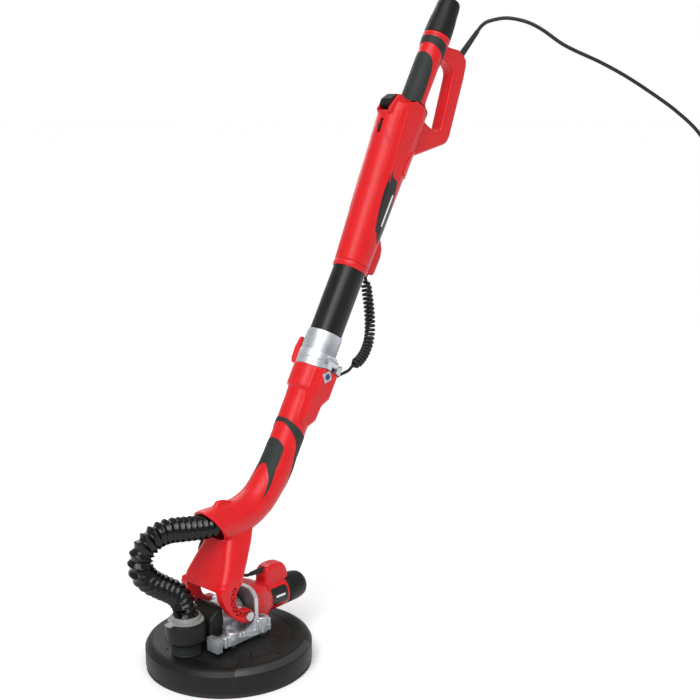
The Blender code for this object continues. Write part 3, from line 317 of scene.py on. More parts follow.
def swept(points, radii, count=48, mouth=None, reach=0.0):
    """A round solid along points; its first rings turn from facing mouth to facing along it."""
    points = [Vector(p) for p in points]
    rings = []
    side = None
    travelled = 0.0
    for i, point in enumerate(points):
        ahead = (points[min(i + 1, len(points) - 1)] - points[max(i - 1, 0)]).normalized()
        if i:
            travelled += (point - points[i - 1]).length
        if mouth is not None and travelled < reach:
            ahead = Vector(mouth).normalized().lerp(ahead, travelled / reach).normalized()
        if side is None:
            side = Vector((1.0, 0.0, 0.0)) if abs(ahead.y) > 0.9 else Vector((0.0, 1.0, 0.0))
        side = (side - ahead * side.dot(ahead)).normalized()
        upward = ahead.cross(side)
        radius = radii[i] if isinstance(radii, (list, tuple)) else radii
        rings.append([point + side * a + upward * b for a, b in circle(radius, count)])
    return loft(rings)


def smooth_path(route, count):
    """Points at equal spacing on a smooth curve through a route."""
    route = [Vector(p) for p in route]
    fine = []
    for i in range(len(route) - 1):
        before = route[i - 1] if i else route[0] * 2.0 - route[1]
        after = route[i + 2] if i + 2 < len(route) else route[-1] * 2.0 - route[-2]
        for k in range(24):
            t = k / 24.0
            fine.append(0.5 * ((2.0 * route[i]) + (route[i + 1] - before) * t + (2.0 * before - 5.0 * route[i]
                + 4.0 * route[i + 1] - after) * t * t + (3.0 * route[i] - before - 3.0 * route[i + 1] + after)
                * t ** 3))
    fine.append(route[-1])
    lengths = [0.0]
    for a, b in zip(fine, fine[1:]):
        lengths.append(lengths[-1] + (b - a).length)
    points = []
    k = 0
    for i in range(count):
        target = lengths[-1] * i / (count - 1)
        while k < len(fine) - 2 and lengths[k + 1] < target:
            k += 1
        span = lengths[k + 1] - lengths[k]
        points.append(fine[k].lerp(fine[k + 1], (target - lengths[k]) / span if span else 0.0))
    return points


def path_length(points):
    return sum((Vector(b) - Vector(a)).length for a, b in zip(points, points[1:]))


def smooth_rows(rows, count):
    made = smooth_path([Vector(row) for row in rows], count)
    return [tuple(point) for point in made]


def mesh_object(name, shape, matrix=UP, sharp=32.0):
    verts, faces = shape
    mesh = bpy.data.meshes.new(name)
    mesh.from_pydata([tuple(matrix @ Vector(v)) for v in verts], [], faces)
    work = bmesh.new()
    work.from_mesh(mesh)
    bmesh.ops.remove_doubles(work, verts=work.verts, dist=1e-6)
    bmesh.ops.recalc_face_normals(work, faces=work.faces)
    work.to_mesh(mesh)
    work.free()
    mesh.shade_smooth()
    mesh.set_sharp_from_angle(angle=radians(sharp))
    return linked(name, mesh)


def joined(*shapes):
    verts = []
    faces = []
    for shape in shapes:
        start = len(verts)
        verts += list(shape[0])
        faces += [[start + i for i in face] for face in shape[1]]
    return verts, faces


def baked(made, sharp=32.0):
    """Turns an object's modifiers into its mesh."""
    bpy.context.view_layer.update()
    graph = bpy.context.evaluated_depsgraph_get()
    mesh = bpy.data.meshes.new_from_object(made.evaluated_get(graph))
    made.modifiers.clear()
    made.data = mesh
    mesh.shade_smooth()
    mesh.set_sharp_from_angle(angle=radians(sharp))
    return made


def carve(made, shapes, operation="DIFFERENCE", matrix=UP, sharp=40.0):
    for shape in shapes:
        tool = mesh_object("tool", shape, matrix)
        step = made.modifiers.new("carve", "BOOLEAN")
        step.operation = operation
        step.solver = "EXACT"
        step.object = tool
        baked(made, sharp)
        bpy.data.objects.remove(tool, do_unlink=True)
    return made


def melted(name, shape, voxel, passes, matrix=UP):
    """Overlapping solids run together into one, with soft fillets where they meet."""
    made = mesh_object(name, shape, matrix)
    step = made.modifiers.new("melt", "REMESH")
    step.mode = "VOXEL"
    step.voxel_size = voxel
    soften = made.modifiers.new("soften", "SMOOTH")
    soften.factor = 0.5
    soften.iterations = passes
    return baked(made, 60.0)


def soft_edges(made, width, segments=3, angle=35.0):
    step = made.modifiers.new("edges", "BEVEL")
    step.width = width
    step.segments = segments
    step.limit_method = "ANGLE"
    step.angle_limit = radians(angle)
    step.harden_normals = False
    return made


def piece(made, material, body, replaces=()):
    made.data.materials.clear()
    made.data.materials.append(material)
    if body:
        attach(made, body)
    if replaces:
        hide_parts(*replaces)
    return made


# ---- cords and hoses ----------------------------------------------------
DUST_HOSE = ((-0.024, 0.0, 0.221), (-0.045, 0.0, 0.223), (-0.08, 0.0, 0.229), (-0.112, 0.0, 0.234),
    (-0.138, 0.0, 0.229), (-0.156, 0.0, 0.212), (-0.158, 0.0, 0.189), (-0.143, 0.0, 0.169), (-0.12, 0.0, 0.152),
    (-0.098, 0.0, 0.136), (-0.085, 0.0, 0.117), (PORT_X, 0.0, 0.1), (PORT_X, 0.0, 0.08),)
MOTOR_CABLE = ((0.045, 0.0, 0.124), (0.037, 0.0008, 0.1242), (0.025, 0.015, 0.1275), (0.013, 0.038, 0.135),
    (0.0, 0.053, 0.145), (-0.006, 0.057, 0.16), (-0.004, 0.053, 0.177), (0.0, 0.043, 0.194),
    (0.003, 0.029, 0.2105),)
CURLY = ((0.3035, 0.0, 0.551), (0.3065, -0.001, 0.53), (0.308, -0.004, 0.505), (0.306, -0.008, 0.48),
    (0.298, -0.014, 0.457), (0.283, -0.02, 0.439), (0.262, -0.026, 0.427), (0.24, -0.03, 0.421),)
MAINS = ((0.6, -0.001, 0.9585), (0.611, -0.007, 0.965), (0.632, -0.028, 0.97), (0.652, -0.055, 0.9635),
    (0.667, -0.078, 0.95), (0.685, -0.104, 0.928), (0.7015, -0.1231, 0.915), (0.731, -0.1548, 0.896),
    (0.7612, -0.187, 0.873), (0.7912, -0.2195, 0.8457), (0.824, -0.254, 0.813), (0.8526, -0.2853, 0.774),
    (0.873, -0.309, 0.72), (0.888, -0.327, 0.64), (0.896, -0.338, 0.54), (0.898, -0.344, 0.43),
    (0.896, -0.348, 0.32), (0.89, -0.351, 0.21), (0.883, -0.354, 0.13), (0.88, -0.3565, 0.08),
    (0.885, -0.358, 0.046), (0.902, -0.359, 0.0262),)
RELIEF_START = Vector((0.0665, 0.0, 1.0755))
RELIEF_AIM = Vector((0.301, 0.0, 0.954)).normalized()
RELIEF_LENGTH = 0.072
RELIEF_PLACE = (POLE @ Matrix.Translation(RELIEF_START) @ Vector((0.0, 0.0,
    1.0)).rotation_difference(RELIEF_AIM).to_matrix().to_4x4())


def tube_mesh(name, points, radius, count, shape=None):
    """A tube round a path, with its radius changed along and around it by shape."""
    rings = []
    side = Vector((0.0, 1.0, 0.0))
    if abs((points[1] - points[0]).normalized().y) > 0.9:
        side = Vector((1.0, 0.0, 0.0))
    travelled = 0.0
    for i, point in enumerate(points):
        ahead = (points[min(i + 1, len(points) - 1)] - points[max(i - 1, 0)]).normalized()
        side = (side - ahead * side.dot(ahead)).normalized()
        upward = ahead.cross(side)
        if i:
            travelled += (point - points[i - 1]).length
        one = []
        for k in range(count):
            angle = 2.0 * pi * k / count
            reach = shape(travelled, angle) if shape else radius
            one.append(point + side * (reach * cos(angle)) + upward * (reach * sin(angle)))
        rings.append(one)
    return mesh_object(name, loft(rings), UP, 60.0)


def blended_cord(cord, material, slot):
    """Gives a cord that crosses a joint and goes back into the object its material, bakes its place into its
    mesh and hides the part it replaces.
    """
    cord.data.materials.append(material)
    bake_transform(cord)
    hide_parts(slot)


def build_dust_hose():
    pitch = 0.0108
    crest = HOSE_DIAMETER / 2.0
    depth = 0.0048

    def corrugation(travelled, angle):
        phase = (travelled / pitch + angle / (2.0 * pi)) % 1.0
        wall = abs(2.0 * phase - 1.0)
        return crest - depth * (1.0 - wall ** 1.25)

    points = smooth_path(DUST_HOSE, 430)
    hose = tube_mesh("dust_hose_vinyl", points, crest, 56, corrugation)
    blended_cord(hose, VINYL, "dust_hose")


def build_motor_cable():
    points = smooth_path(MOTOR_CABLE, 60)
    cable = tube_mesh("motor_cable_sheath", points, 0.0025, 20)
    blended_cord(cable, LEAD, "motor_cable")


def build_curly_cord():
    """Straight out of the housing, coiled, and straight again into the lower collar."""
    spine = smooth_path(CURLY, 400)
    total = path_length(spine)
    pitch = 0.0068
    radius = 0.009 - CURLY_WIRE / 2.0
    turns = total / pitch
    per_turn = 18
    points = []
    count = int(turns * per_turn)
    side = Vector((0.0, 1.0, 0.0))
    step = (len(spine) - 1) / count
    for i in range(count + 1):
        where = i * step
        k = min(int(where), len(spine) - 2)
        centre = spine[k].lerp(spine[k + 1], where - k)
        ahead = (spine[k + 1] - spine[k]).normalized()
        side = (side - ahead * side.dot(ahead)).normalized()
        upward = ahead.cross(side)
        angle = 2.0 * pi * i / per_turn
        share = i / count
        ease = min(1.0, share * 12.0, (1.0 - share) * 12.0)
        reach = radius * ease * ease * (3.0 - 2.0 * ease)
        points.append(centre + side * (reach * cos(angle)) + upward * (reach * sin(angle)))
    lead_in = smooth_path((pole(0.676, 0.04), pole(0.668, 0.04), points[0]), 8)[:-1]
    lead_out = smooth_path((points[-1], Vector((0.23, -0.03, 0.415)), pole(0.49, 0.03, -0.026),
        pole(0.48, 0.023, -0.024)), 12)[1:]
    points = lead_in + points + lead_out
    cord = tube_mesh("curly_cord_sheath", points, CURLY_WIRE / 2.0, 12)
    blended_cord(cord, LEAD, "curly_cord")


def coil_turns():
    """Three layers of turns a diameter apart, wound from the top layer down."""
    points = []
    pitch = CORD_DIAMETER * 1.02
    low = CORD_DIAMETER / 2.0 + 0.0001
    inner = 0.0264
    outer = 0.0456
    plan = ((0.036, outer, low + 2.0 * pitch, 1.75), (outer, inner, low + pitch, 4.0),
        (inner, outer, low, 4.25),)
    angle = radians(90.0)
    height = 0.0262
    for start, end, level, turns in plan:
        count = int(turns * 28)
        for i in range(count):
            share = (i + 1) / count
            angle -= 2.0 * pi * turns / count
            radius = start + (end - start) * share
            height += (level - height) * min(1.0, 0.12 + share)
            points.append(COIL + Vector((radius * cos(angle), radius * sin(angle), height)))
    return points


def build_mains_cord():
    tip = POLE @ (RELIEF_START + RELIEF_AIM * RELIEF_LENGTH)
    aim = POLE.to_3x3() @ RELIEF_AIM
    seen = smooth_path((tip, tip + aim * 0.009) + MAINS, 200)
    turns = coil_turns()
    tail_start = turns[-1]
    low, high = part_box("plug")
    socket = Vector((low[0] + 0.002, (low[1] + high[1]) / 2.0, (low[2] + high[2]) / 2.0))
    tail = smooth_path((tail_start, tail_start + Vector((0.016, 0.0004, 0.0006)),
        socket - Vector((0.012, 0, 0.001)), socket), 16)[1:]
    points = seen + smooth_path([seen[-1]] + turns, 420)[1:] + tail
    curve = bpy.data.curves.new("mains_lead", "CURVE")
    curve.dimensions = "3D"
    curve.bevel_depth = CORD_DIAMETER / 2.0
    curve.bevel_resolution = 4
    curve.use_fill_caps = True
    spline = curve.splines.new("POLY")
    spline.points.add(len(points) - 1)
    for target, point in zip(spline.points, points):
        target.co = (*point, 1.0)
    lead = linked("mains_lead", curve)
    curve.materials.append(LEAD)
    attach(lead, "upper_arm")
    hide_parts("mains_cord", "cord_coil")


def build_relief():
    """A ribbed, tapered strain relief that leans slightly out of the handle."""
    profile = []
    length = RELIEF_LENGTH
    ribs = 15
    for i in range(ribs * 6 + 1):
        share = i / (ribs * 6)
        radius = 0.0058 - 0.0018 * share
        if 0.3 < share < 0.93 and (i % 6) in (3, 4):
            radius -= 0.0007
        profile.append((radius, share * length))
    closed = [(0.0, 0.0)] + profile + [(0.0, length)]
    made = mesh_object("cord_relief_ribbed", turned(closed, 32), RELIEF_PLACE)
    piece(made, RUBBER, "upper_arm", ("cord_relief",))


# ---- surfaces of the arm and the housing --------------------------------
ARM_ROUTE = (((-0.033, 0.0, 0.221), 0.03), ((-0.015, 0.0, 0.2195), 0.029), ((0.01, 0.0, 0.2215), 0.028),
    ((0.036, 0.0, 0.227), 0.0275), ((0.06, 0.0, 0.2385), 0.027), ((0.08, 0.0, 0.256), 0.0265),)
ARM_STATIONS = ((0.325, 0.026), (0.35, 0.025), (0.39, 0.025), (0.43, 0.0252), (0.448, 0.0256))
HOUSING = ((0.665, 0.028, 0.0004), (0.72, 0.0288, 0.005), (0.801, 0.0298, 0.0118), (0.87, 0.03, 0.0188),
    (0.929, 0.03, 0.0238), (0.943, 0.029, 0.0225), (0.95, 0.0262, 0.014), (0.956, 0.0225, 0.004),
    (0.96, 0.0211, 0.0008), (0.966, 0.0205, 0.0), (1.0, 0.0205, 0.0), (1.042, 0.0205, 0.0), (1.05, 0.0213, 0.0),
    (1.065, 0.0224, 0.0), (1.0715, 0.0229, 0.0),)


def arm_line():
    """The lower arm's centreline as (distance along the pole, point, radius)."""
    points = [Vector(p) for p, _ in ARM_ROUTE] + [pole(s) for s, _ in ARM_STATIONS]
    radii = [r for _, r in ARM_ROUTE] + [r for _, r in ARM_STATIONS]
    fine = smooth_path(points, 160)
    coarse = [0.0]
    for a, b in zip(points, points[1:]):
        coarse.append(coarse[-1] + (b - a).length)
    total = path_length(fine)
    line = []
    travelled = 0.0
    for i, point in enumerate(fine):
        if i:
            travelled += (point - fine[i - 1]).length
        here = travelled / total * coarse[-1]
        k = max(j for j in range(len(coarse)) if coarse[j] <= here + 1e-9)
        k = min(k, len(coarse) - 2)
        share = (here - coarse[k]) / (coarse[k + 1] - coarse[k])
        share = share * share * (3.0 - 2.0 * share)
        radius = radii[k] + (radii[k + 1] - radii[k]) * share
        line.append((ARM_STATIONS[-1][0] - (total - travelled), point, radius))
    return line


ARM_LINE = arm_line()


def arm_surface(along, degrees, lift):
    """A point over the lower arm's skin; 180 degrees is its upper side, 270 its -Y side."""
    k = 0
    while k < len(ARM_LINE) - 2 and ARM_LINE[k + 1][0] < along:
        k += 1
    first, second = ARM_LINE[k], ARM_LINE[k + 1]
    share = (along - first[0]) / (second[0] - first[0])
    centre = first[1].lerp(second[1], share)
    radius = first[2] + (second[2] - first[2]) * share + lift
    ahead = (second[1] - first[1]).normalized()
    across = Vector((0.0, 1.0, 0.0)).cross(ahead)
    angle = radians(degrees)
    return centre + across * (radius * cos(angle)) + Vector((0.0, radius * sin(angle), 0.0))


def table_value(table, along, column):
    for first, second in zip(table, table[1:]):
        if along <= second[0]:
            share = max(0.0, (along - first[0]) / (second[0] - first[0]))
            return first[column] + (second[column] - first[column]) * share
    return table[-1][column]


def shoulder_drop(along, cosine):
    """How much lower the housing's shoulder lies on the side away from the handle."""
    if cosine >= 0.0:
        return 0.0
    reach = min(1.0, max(0.0, (along - SHOULDER_START) / SHOULDER_RISE)) * min(1.0,
        max(0.0, (SHOULDER_END - along) / SHOULDER_FALL))
    return SHOULDER_DROP * reach * min(1.0, -cosine / DROP_REACH)


def housing_surface(along, degrees, lift):
    """A point over the upper housing's skin, in the same angles."""
    angle = radians(degrees)
    station = along
    for _ in range(6):
        station = along + shoulder_drop(station, cos(angle))
    radius = table_value(HOUSING, station, 1) + lift
    depth = table_value(HOUSING, station, 2)
    across = radius * cos(angle)
    if cos(angle) < -1e-9:
        across -= depth
    return pole(along, across, radius * sin(angle))


def skin_patch(surface, rows, low=PATCH_SINK, high=PATCH_LIFT, count=28, across=False, samples=48):
    """A plate that follows a skin, through (distance, from angle, to angle) rows.

    With across, the rows are (angle, from distance, to distance) instead.
    """
    rings = []
    for level, start, end in smooth_rows(rows, samples):
        top = []
        under = []
        for i in range(count + 1):
            value = start + (end - start) * i / count
            along, degrees = (value, level) if across else (level, value)
            top.append(surface(along, degrees, high))
            under.append(surface(along, degrees, low))
        rings.append(top + under[::-1])
    return loft(rings)


def bead(surface, route, radius, sink=0.3, samples=60):
    """A thin raised rib that follows a skin through (distance, angle) points."""
    points = []
    for along, degrees, _ in smooth_rows([(a, d, 0.0) for a, d in route], samples):
        points.append(surface(along, degrees, -radius * sink))
    radii = [radius] * len(points)
    radii[0] = radii[-1] = radius * 0.35
    radii[1] = radii[-2] = radius * 0.8
    return swept(points, radii, 12)


# ---- fork, neck and lower arm -------------------------------------------
THROAT = Vector((-0.002, 0.0, 0.1175))
CROWN = ((0.214, -0.01, 0.04, 0.022), (0.203, -0.017, 0.034, 0.0262), (0.19, -0.024, 0.027, 0.031),
    (0.165, -0.036, 0.01, 0.04), (0.145, -0.047, -0.003, 0.0457), (0.131, -0.052, -0.008, 0.0465),)
CROWN_HOLLOW = ((0.188, -0.012, 0.055, 0.02), (0.178, -0.022, 0.052, 0.027), (0.165, -0.03, 0.05, 0.032),
    (0.145, -0.041, 0.05, 0.0325), (0.12, -0.05, 0.05, 0.0325),)


def crown_rings(stations, corner=0.012):
    rings = []
    for height, front, rear, half in stations:
        section = rounded((rear - front) / 2.0, half, min(corner, half * 0.5, (rear - front) * 0.4), 6)
        middle = (rear + front) / 2.0
        rings.append([(middle + a, b, height) for a, b in section])
    return rings


def leg_outline():
    outer = [(-0.0495, 0.138), (-0.052, 0.131), (-0.05, 0.121), (-0.043, 0.107), (-0.034, 0.094),
        (-0.023, 0.084), (-0.011, 0.0765)]
    foot = []
    for degrees in range(-90, 61, 15):
        angle = radians(degrees)
        foot.append((TILT.x + 0.0098 * cos(angle), TILT.z + 0.0098 * sin(angle)))
    return outer + foot + [(0.0, 0.096), (-0.01, 0.138)]


def collar_section(along, reach):
    outline = [(-0.018, -0.015), (-0.018, -0.044), (0.012, -0.044), (0.028, -0.03), (0.028, -0.005)]
    return [tuple(pole(along, a * reach, b * reach)) for a, b in outline]


def split_shells(made):
    """Cuts the thin seam where a moulding's two half shells meet."""
    carve(made, [block((-1.0, SEAM_LOW, -1.0), (2.0, SEAM_HIGH, 2.0))])


def build_lower_arm():
    line = [point for _, point, _ in ARM_LINE]
    radii = [radius for _, _, radius in ARM_LINE]
    normal = Vector((0.836, 0.0, 0.55))
    neck = swept(line, radii, 72, normal, 0.028)
    crown = loft(crown_rings(CROWN))
    legs = [prism(leg_outline(), low, high) for low, high in ((0.0325, 0.0465), (-0.0465, -0.0325))]
    boss = loft([collar_section(0.4, 0.62), collar_section(0.412, 0.8), collar_section(0.436, 0.82),
        collar_section(0.45, 1.0), collar_section(0.4872, 1.0)])
    collar = turned([(0.0, 0.44), (0.0256, 0.44), (0.0258, 0.449), (0.0292, 0.4515), (0.0298, 0.455),
        (0.0298, 0.488), (0.0, 0.488)], 72)
    collar = ([POLE @ Vector(v) for v in collar[0]], collar[1])
    lug = swept(((-0.022, 0.0, 0.246), (-0.017, 0.0, 0.2515), (-0.006, 0.0, 0.25), (0.012, 0.0, 0.244)),
        [0.0042, 0.005, 0.0052, 0.0048], 24)
    arm = melted("lower_arm_shell", joined(neck, crown, boss, collar, lug, *legs), 0.00125, 5)
    split_shells(arm)
    sparse = line[::5] + [line[-1]]
    inner = [r - 0.0035 for r in radii[::5]] + [radii[-1] - 0.0035]
    start = line[0] - normal.normalized() * 0.006
    bore_points = [start] + sparse + [pole(0.494)]
    bore = swept(bore_points, [inner[0]] + inner + [0.022], 64, normal, 0.034)
    throat = turned(rod(0.0235, -0.06, 0.06), 64, THROAT, "Y")
    gap = block((-0.09, -0.0325, 0.06), (0.08, 0.0325, 0.1325))
    hole = turned(rod(0.0043, -0.06, 0.06), 32, TILT, "Y")
    hood = loft(crown_rings(CROWN_HOLLOW))
    carve(arm, [bore, hood, gap, throat, hole])
    channels = []
    for side in (-1.0, 1.0):
        low, high = sorted((side * 0.0405, side * 0.048))
        channels.append(prism(channel_arc(CHANNEL_INNER) + channel_arc(CHANNEL_OUTER)[::-1], low, high))
    carve(arm, channels)
    piece(arm, RED, "lower_arm", ("arm_shell_left", "arm_shell_right"))
    build_leg_ribs()


CHANNEL_INNER = 0.025
CHANNEL_OUTER = 0.0335


def channel_arc(radius):
    """Points round the fork's throat, where the outer faces of the legs are hollowed."""
    points = []
    for k in range(15):
        share = k / 14.0
        angle = radians(142.0 + 138.0 * share)
        pull = 0.0055 * max(0.0, share - 0.72) / 0.28 if radius > CHANNEL_INNER else 0.0
        points.append((THROAT.x + (radius - pull) * cos(angle), THROAT.z + (radius - pull) * sin(angle)))
    return points


def build_leg_ribs():
    """Crossed stiffening ribs in the hollow on the outer face of each fork leg."""
    near = channel_arc(CHANNEL_INNER - 0.0003)[::2]
    far = channel_arc(CHANNEL_OUTER + 0.0003)[::2]
    shapes = []
    for side in (-1.0, 1.0):
        for k in range(len(near) - 1):
            for first, second in ((near[k], far[k + 1]), (far[k], near[k + 1])):
                a = Vector((first[0], side * 0.043, first[1]))
                b = Vector((second[0], side * 0.043, second[1]))
                along = (b - a).normalized()
                thick = Vector((along.z, 0.0, -along.x)) * 0.00065
                wide = Vector((0.0, 0.0027, 0.0))
                rings = []
                for end in (a, b):
                    rings.append([end + thick + wide, end - thick + wide, end - thick - wide,
                        end + thick - wide])
                shapes.append(loft(rings))
    ribs = mesh_object("fork_leg_ribs", joined(*shapes))
    piece(ribs, RED, "lower_arm")


def build_arm_trim():
    pieces = []
    main = [(0.32, 174.0, 186.0), (0.3225, 134.0, 226.0), (0.33, 131.5, 228.5), (0.345, 131.0, 229.0),
        (0.353, 131.5, 228.5), (0.3595, 145.0, 215.0), (0.363, 160.0, 200.0), (0.3645, 174.0, 186.0)]
    pieces.append(skin_patch(arm_surface, main))
    for side in (-1.0, 1.0):
        tail = [(0.3235, 180.0 + side * 3.0, 180.0 + side * 47.5), (0.314, 180.0 + side * 19.0,
            180.0 + side * 50.0), (0.305, 180.0 + side * 33.0, 180.0 + side * 53.0),
            (0.294, 180.0 + side * 45.0, 180.0 + side * 57.0), (0.28, 180.0 + side * 53.0, 180.0 + side * 60.0),
            (0.263, 180.0 + side * 60.5, 180.0 + side * 61.2)]
        pieces.append(skin_patch(arm_surface, tail))
    inlay = mesh_object("lower_grip_patch", joined(*pieces))
    piece(inlay, RUBBER, "lower_arm", ("lower_grip_inlay",))
    half = [(0.0, 0.3915, 0.3983), (20.0, 0.3903, 0.398), (48.0, 0.383, 0.3945), (80.0, 0.371, 0.389),
        (96.0, 0.36, 0.386), (106.0, 0.343, 0.3845), (118.0, 0.323, 0.3835), (132.0, 0.308, 0.3825),
        (152.0, 0.299, 0.382), (180.0, 0.297, 0.382)]
    shapes = []
    for side in (-1.0, 1.0):
        rows = [(180.0 + side * a, b, c) for a, b, c in half]
        shapes.append(skin_patch(arm_surface, rows, count=24, across=True, samples=90))
    band = mesh_object("lower_grip_strap", joined(*shapes))
    piece(band, RUBBER, "lower_arm", ("lower_grip_band",))
    ledge = mesh_object("arm_mould_lines", joined(bead(arm_surface,
        ((0.308, 196.0), (0.285, 222.0), (0.256, 232.0), (0.235, 236.0)), 0.0008, 0.5),
        bead(arm_surface, ((0.3, 196.0), (0.276, 219.0), (0.248, 228.0)), 0.0006, 0.5)))
    piece(ledge, RED, "lower_arm")


def build_fold_joint():
    lower = mesh_object("hinge_ring_lower_cast", turned(ring(0.0215, 0.0288, 0.4883, 0.49985), 96), POLE)
    ears = []
    for a, b in ((-0.016, -0.0063), (0.0063, 0.016)):
        ears.append(block((a, -0.045, 0.4883), (b, -0.024, 0.49985)))
        ears.append(turned(rod(0.0062, a, b), 48, HINGE, "X"))
    carve(lower, ears, "UNION", POLE, 32.0)
    carve(lower, [turned(rod(0.0024, -0.03, 0.03), 32, HINGE, "X")], "DIFFERENCE", POLE, 32.0)
    soft_edges(lower, 0.0007)
    piece(lower, ALUMINIUM, "lower_arm", ("hinge_ring_lower",))
    profile = [(0.0215, 0.50015), (0.0284, 0.50015), (0.029, 0.5008), (0.029, 0.512), (0.0284, 0.513),
        (0.0284, 0.542), (0.0276, 0.5456), (0.0263, 0.546), (0.0263, 0.5043), (0.0215, 0.5043)]
    upper = mesh_object("hinge_ring_upper_cast", turned(profile, 96), POLE)
    carve(upper, [block((-0.006, -0.039, 0.50015), (0.006, -0.0265, 0.5102)),
        turned(rod(0.006, -0.006, 0.006), 48, HINGE, "X")], "UNION", POLE, 32.0)
    carve(upper, [turned(rod(0.0024, -0.02, 0.02), 32, HINGE, "X")], "DIFFERENCE", POLE, 32.0)
    soft_edges(upper, 0.0005)
    piece(upper, ALUMINIUM, "upper_arm", ("hinge_ring_upper",))
    bolt = turned([(0.0, 0.0), (0.0052, 0.0), (0.006, 0.0008), (0.006, 0.003), (0.0052, 0.0038), (0.0, 0.0038)],
        6, (0, 0, 0), "Y")
    spot = Vector((-0.0095, -0.0462, 0.477))
    screw = mesh_object("collar_bolt", bolt, POLE @ Matrix.Translation(spot))
    soft_edges(screw, 0.0004, 2)
    piece(screw, BOLT, "lower_arm")
    square = rounded(0.0076, 0.0076, 0.0012, 3)
    quarter = radians(45.0)
    outline = [(spot.x + a * cos(quarter) - b * sin(quarter),
        spot.z + a * sin(quarter) + b * cos(quarter)) for a, b in square]
    washer = mesh_object("collar_bolt_plate", prism(outline, -0.046, -0.0435), POLE)
    soft_edges(washer, 0.0004, 2)
    piece(washer, ALUMINIUM, "lower_arm")


# ---- upper housing ------------------------------------------------------
def housing_ring(along, radius, depth, count=96):
    points = []
    for a, b in circle(radius, count):
        points.append((a - (depth if a < -1e-9 else 0.0), b, along - shoulder_drop(along, a / radius)))
    return points


HANDLE_OUTER = [(0.01, 0.868), (0.028, 0.87), (0.06, 0.8985), (0.089, 0.925), (0.0965, 0.9315), (0.1005, 0.938),
    (0.102, 0.948), (0.0855, 1.05), (0.08, 1.072), (0.0755, 1.0795), (0.068, 1.083), (0.05, 1.084),
    (0.03, 1.076), (0.01, 1.07)]
HANDLE_INNER = [(0.01, 1.05), (0.036, 1.0505), (0.045, 1.049), (0.052, 1.046), (0.056, 1.041), (0.058, 1.035),
    (0.0745, 0.952), (0.074, 0.946), (0.071, 0.941), (0.064, 0.9385), (0.045, 0.938), (0.01, 0.94)]


def rounded_prism(outline, half, edge, matrix=UP, steps=4):
    """An outline given depth along Y, with its edges rounded by a bevel, as verts and faces."""
    made = mesh_object("stack", prism(outline, -half, half), matrix)
    soft_edges(made, edge, steps, 50.0)
    baked(made)
    shape = ([v.co.copy() for v in made.data.vertices], [list(p.vertices) for p in made.data.polygons])
    bpy.data.objects.remove(made, do_unlink=True)
    return shape


def build_upper_housing():
    shell = loft([[tuple(POLE @ Vector(p)) for p in housing_ring(*row)] for row in HOUSING])
    handle = rounded_prism(HANDLE_OUTER + HANDLE_INNER, 0.0125, 0.0045, POLE)
    outlet = rounded_prism([(0.012, 0.668), (0.012, 0.735), (0.03, 0.729), (0.044, 0.713), (0.0475, 0.7),
        (0.0465, 0.67), (0.044, 0.666)], 0.011, 0.0035, POLE)
    spine = rounded_prism([(0.016, 0.735), (0.0315, 0.76), (0.033, 0.86), (0.029, 0.88), (0.016, 0.9)], 0.0085,
        0.003, POLE)
    bracket = rounded_prism([(-0.03, 0.908), (-0.054, 0.908), (-0.0575, 0.9115), (-0.0575, 0.915),
        (-0.049, 0.942), (-0.0455, 0.945), (-0.026, 0.946)], 0.015, 0.0022, POLE)
    made = melted("upper_housing_shell", joined(shell, handle, outlet, spine, bracket), 0.00125, 3)
    split_shells(made)
    cavity = loft([housing_ring(*row) for row in ((0.655, 0.0263, 0.0), (0.704, 0.0263, 0.0),
        (0.712, 0.0265, 0.002), (0.801, 0.027, 0.0085), (0.929, 0.027, 0.0196), (0.943, 0.024, 0.0135),
        (0.954, 0.0176, 0.0), (1.085, 0.0176, 0.0))])
    cuts = [cavity, turned(rod(0.0042, 0.655, 0.69), 32, (0.04, 0, 0)),
        block((-0.075, -0.0106, 0.9105), (-0.042, 0.0106, 0.943)), block((-0.065, -0.0031, 0.8745),
        (-0.04, 0.0031, 0.8985)), block((0.016, -0.0061, 0.9415), (0.045, 0.0061, 0.9635))]
    carve(made, cuts, matrix=POLE)
    carve(made, [turned(rod(0.0061, -0.001, 0.02), 32)], matrix=RELIEF_PLACE)
    vents = []
    for shift in (0.0, 0.006):
        for side in (1.0, -1.0):
            rows = [(180.0 + side * 25.0, 0.8712 + shift, 0.8732 + shift),
                (180.0 + side * 46.0, 0.8585 + shift, 0.8605 + shift)]
            vents.append(skin_patch(housing_surface, rows, -0.0016, 0.003, 4, True, 14))
    carve(made, vents)
    piece(made, RED, "upper_arm", ("upper_shell_left", "upper_shell_right"))
    lip = [(0.0263, 0.655), (0.0272, 0.655), (0.0281, 0.6565), (0.0285, 0.659), (0.0285, 0.6625),
        (0.0278, 0.6645), (0.0263, 0.6652)]
    rim = mesh_object("upper_housing_lip", turned(lip, 96), POLE)
    piece(rim, RED, "upper_arm")
    top = [(0.0176, 1.0712), (0.0227, 1.0712), (0.0233, 1.0725), (0.0234, 1.0745), (0.0229, 1.0764),
        (0.0176, 1.0768)]
    collar = mesh_object("upper_housing_collar", turned(top, 96), POLE)
    piece(collar, RED, "upper_arm")


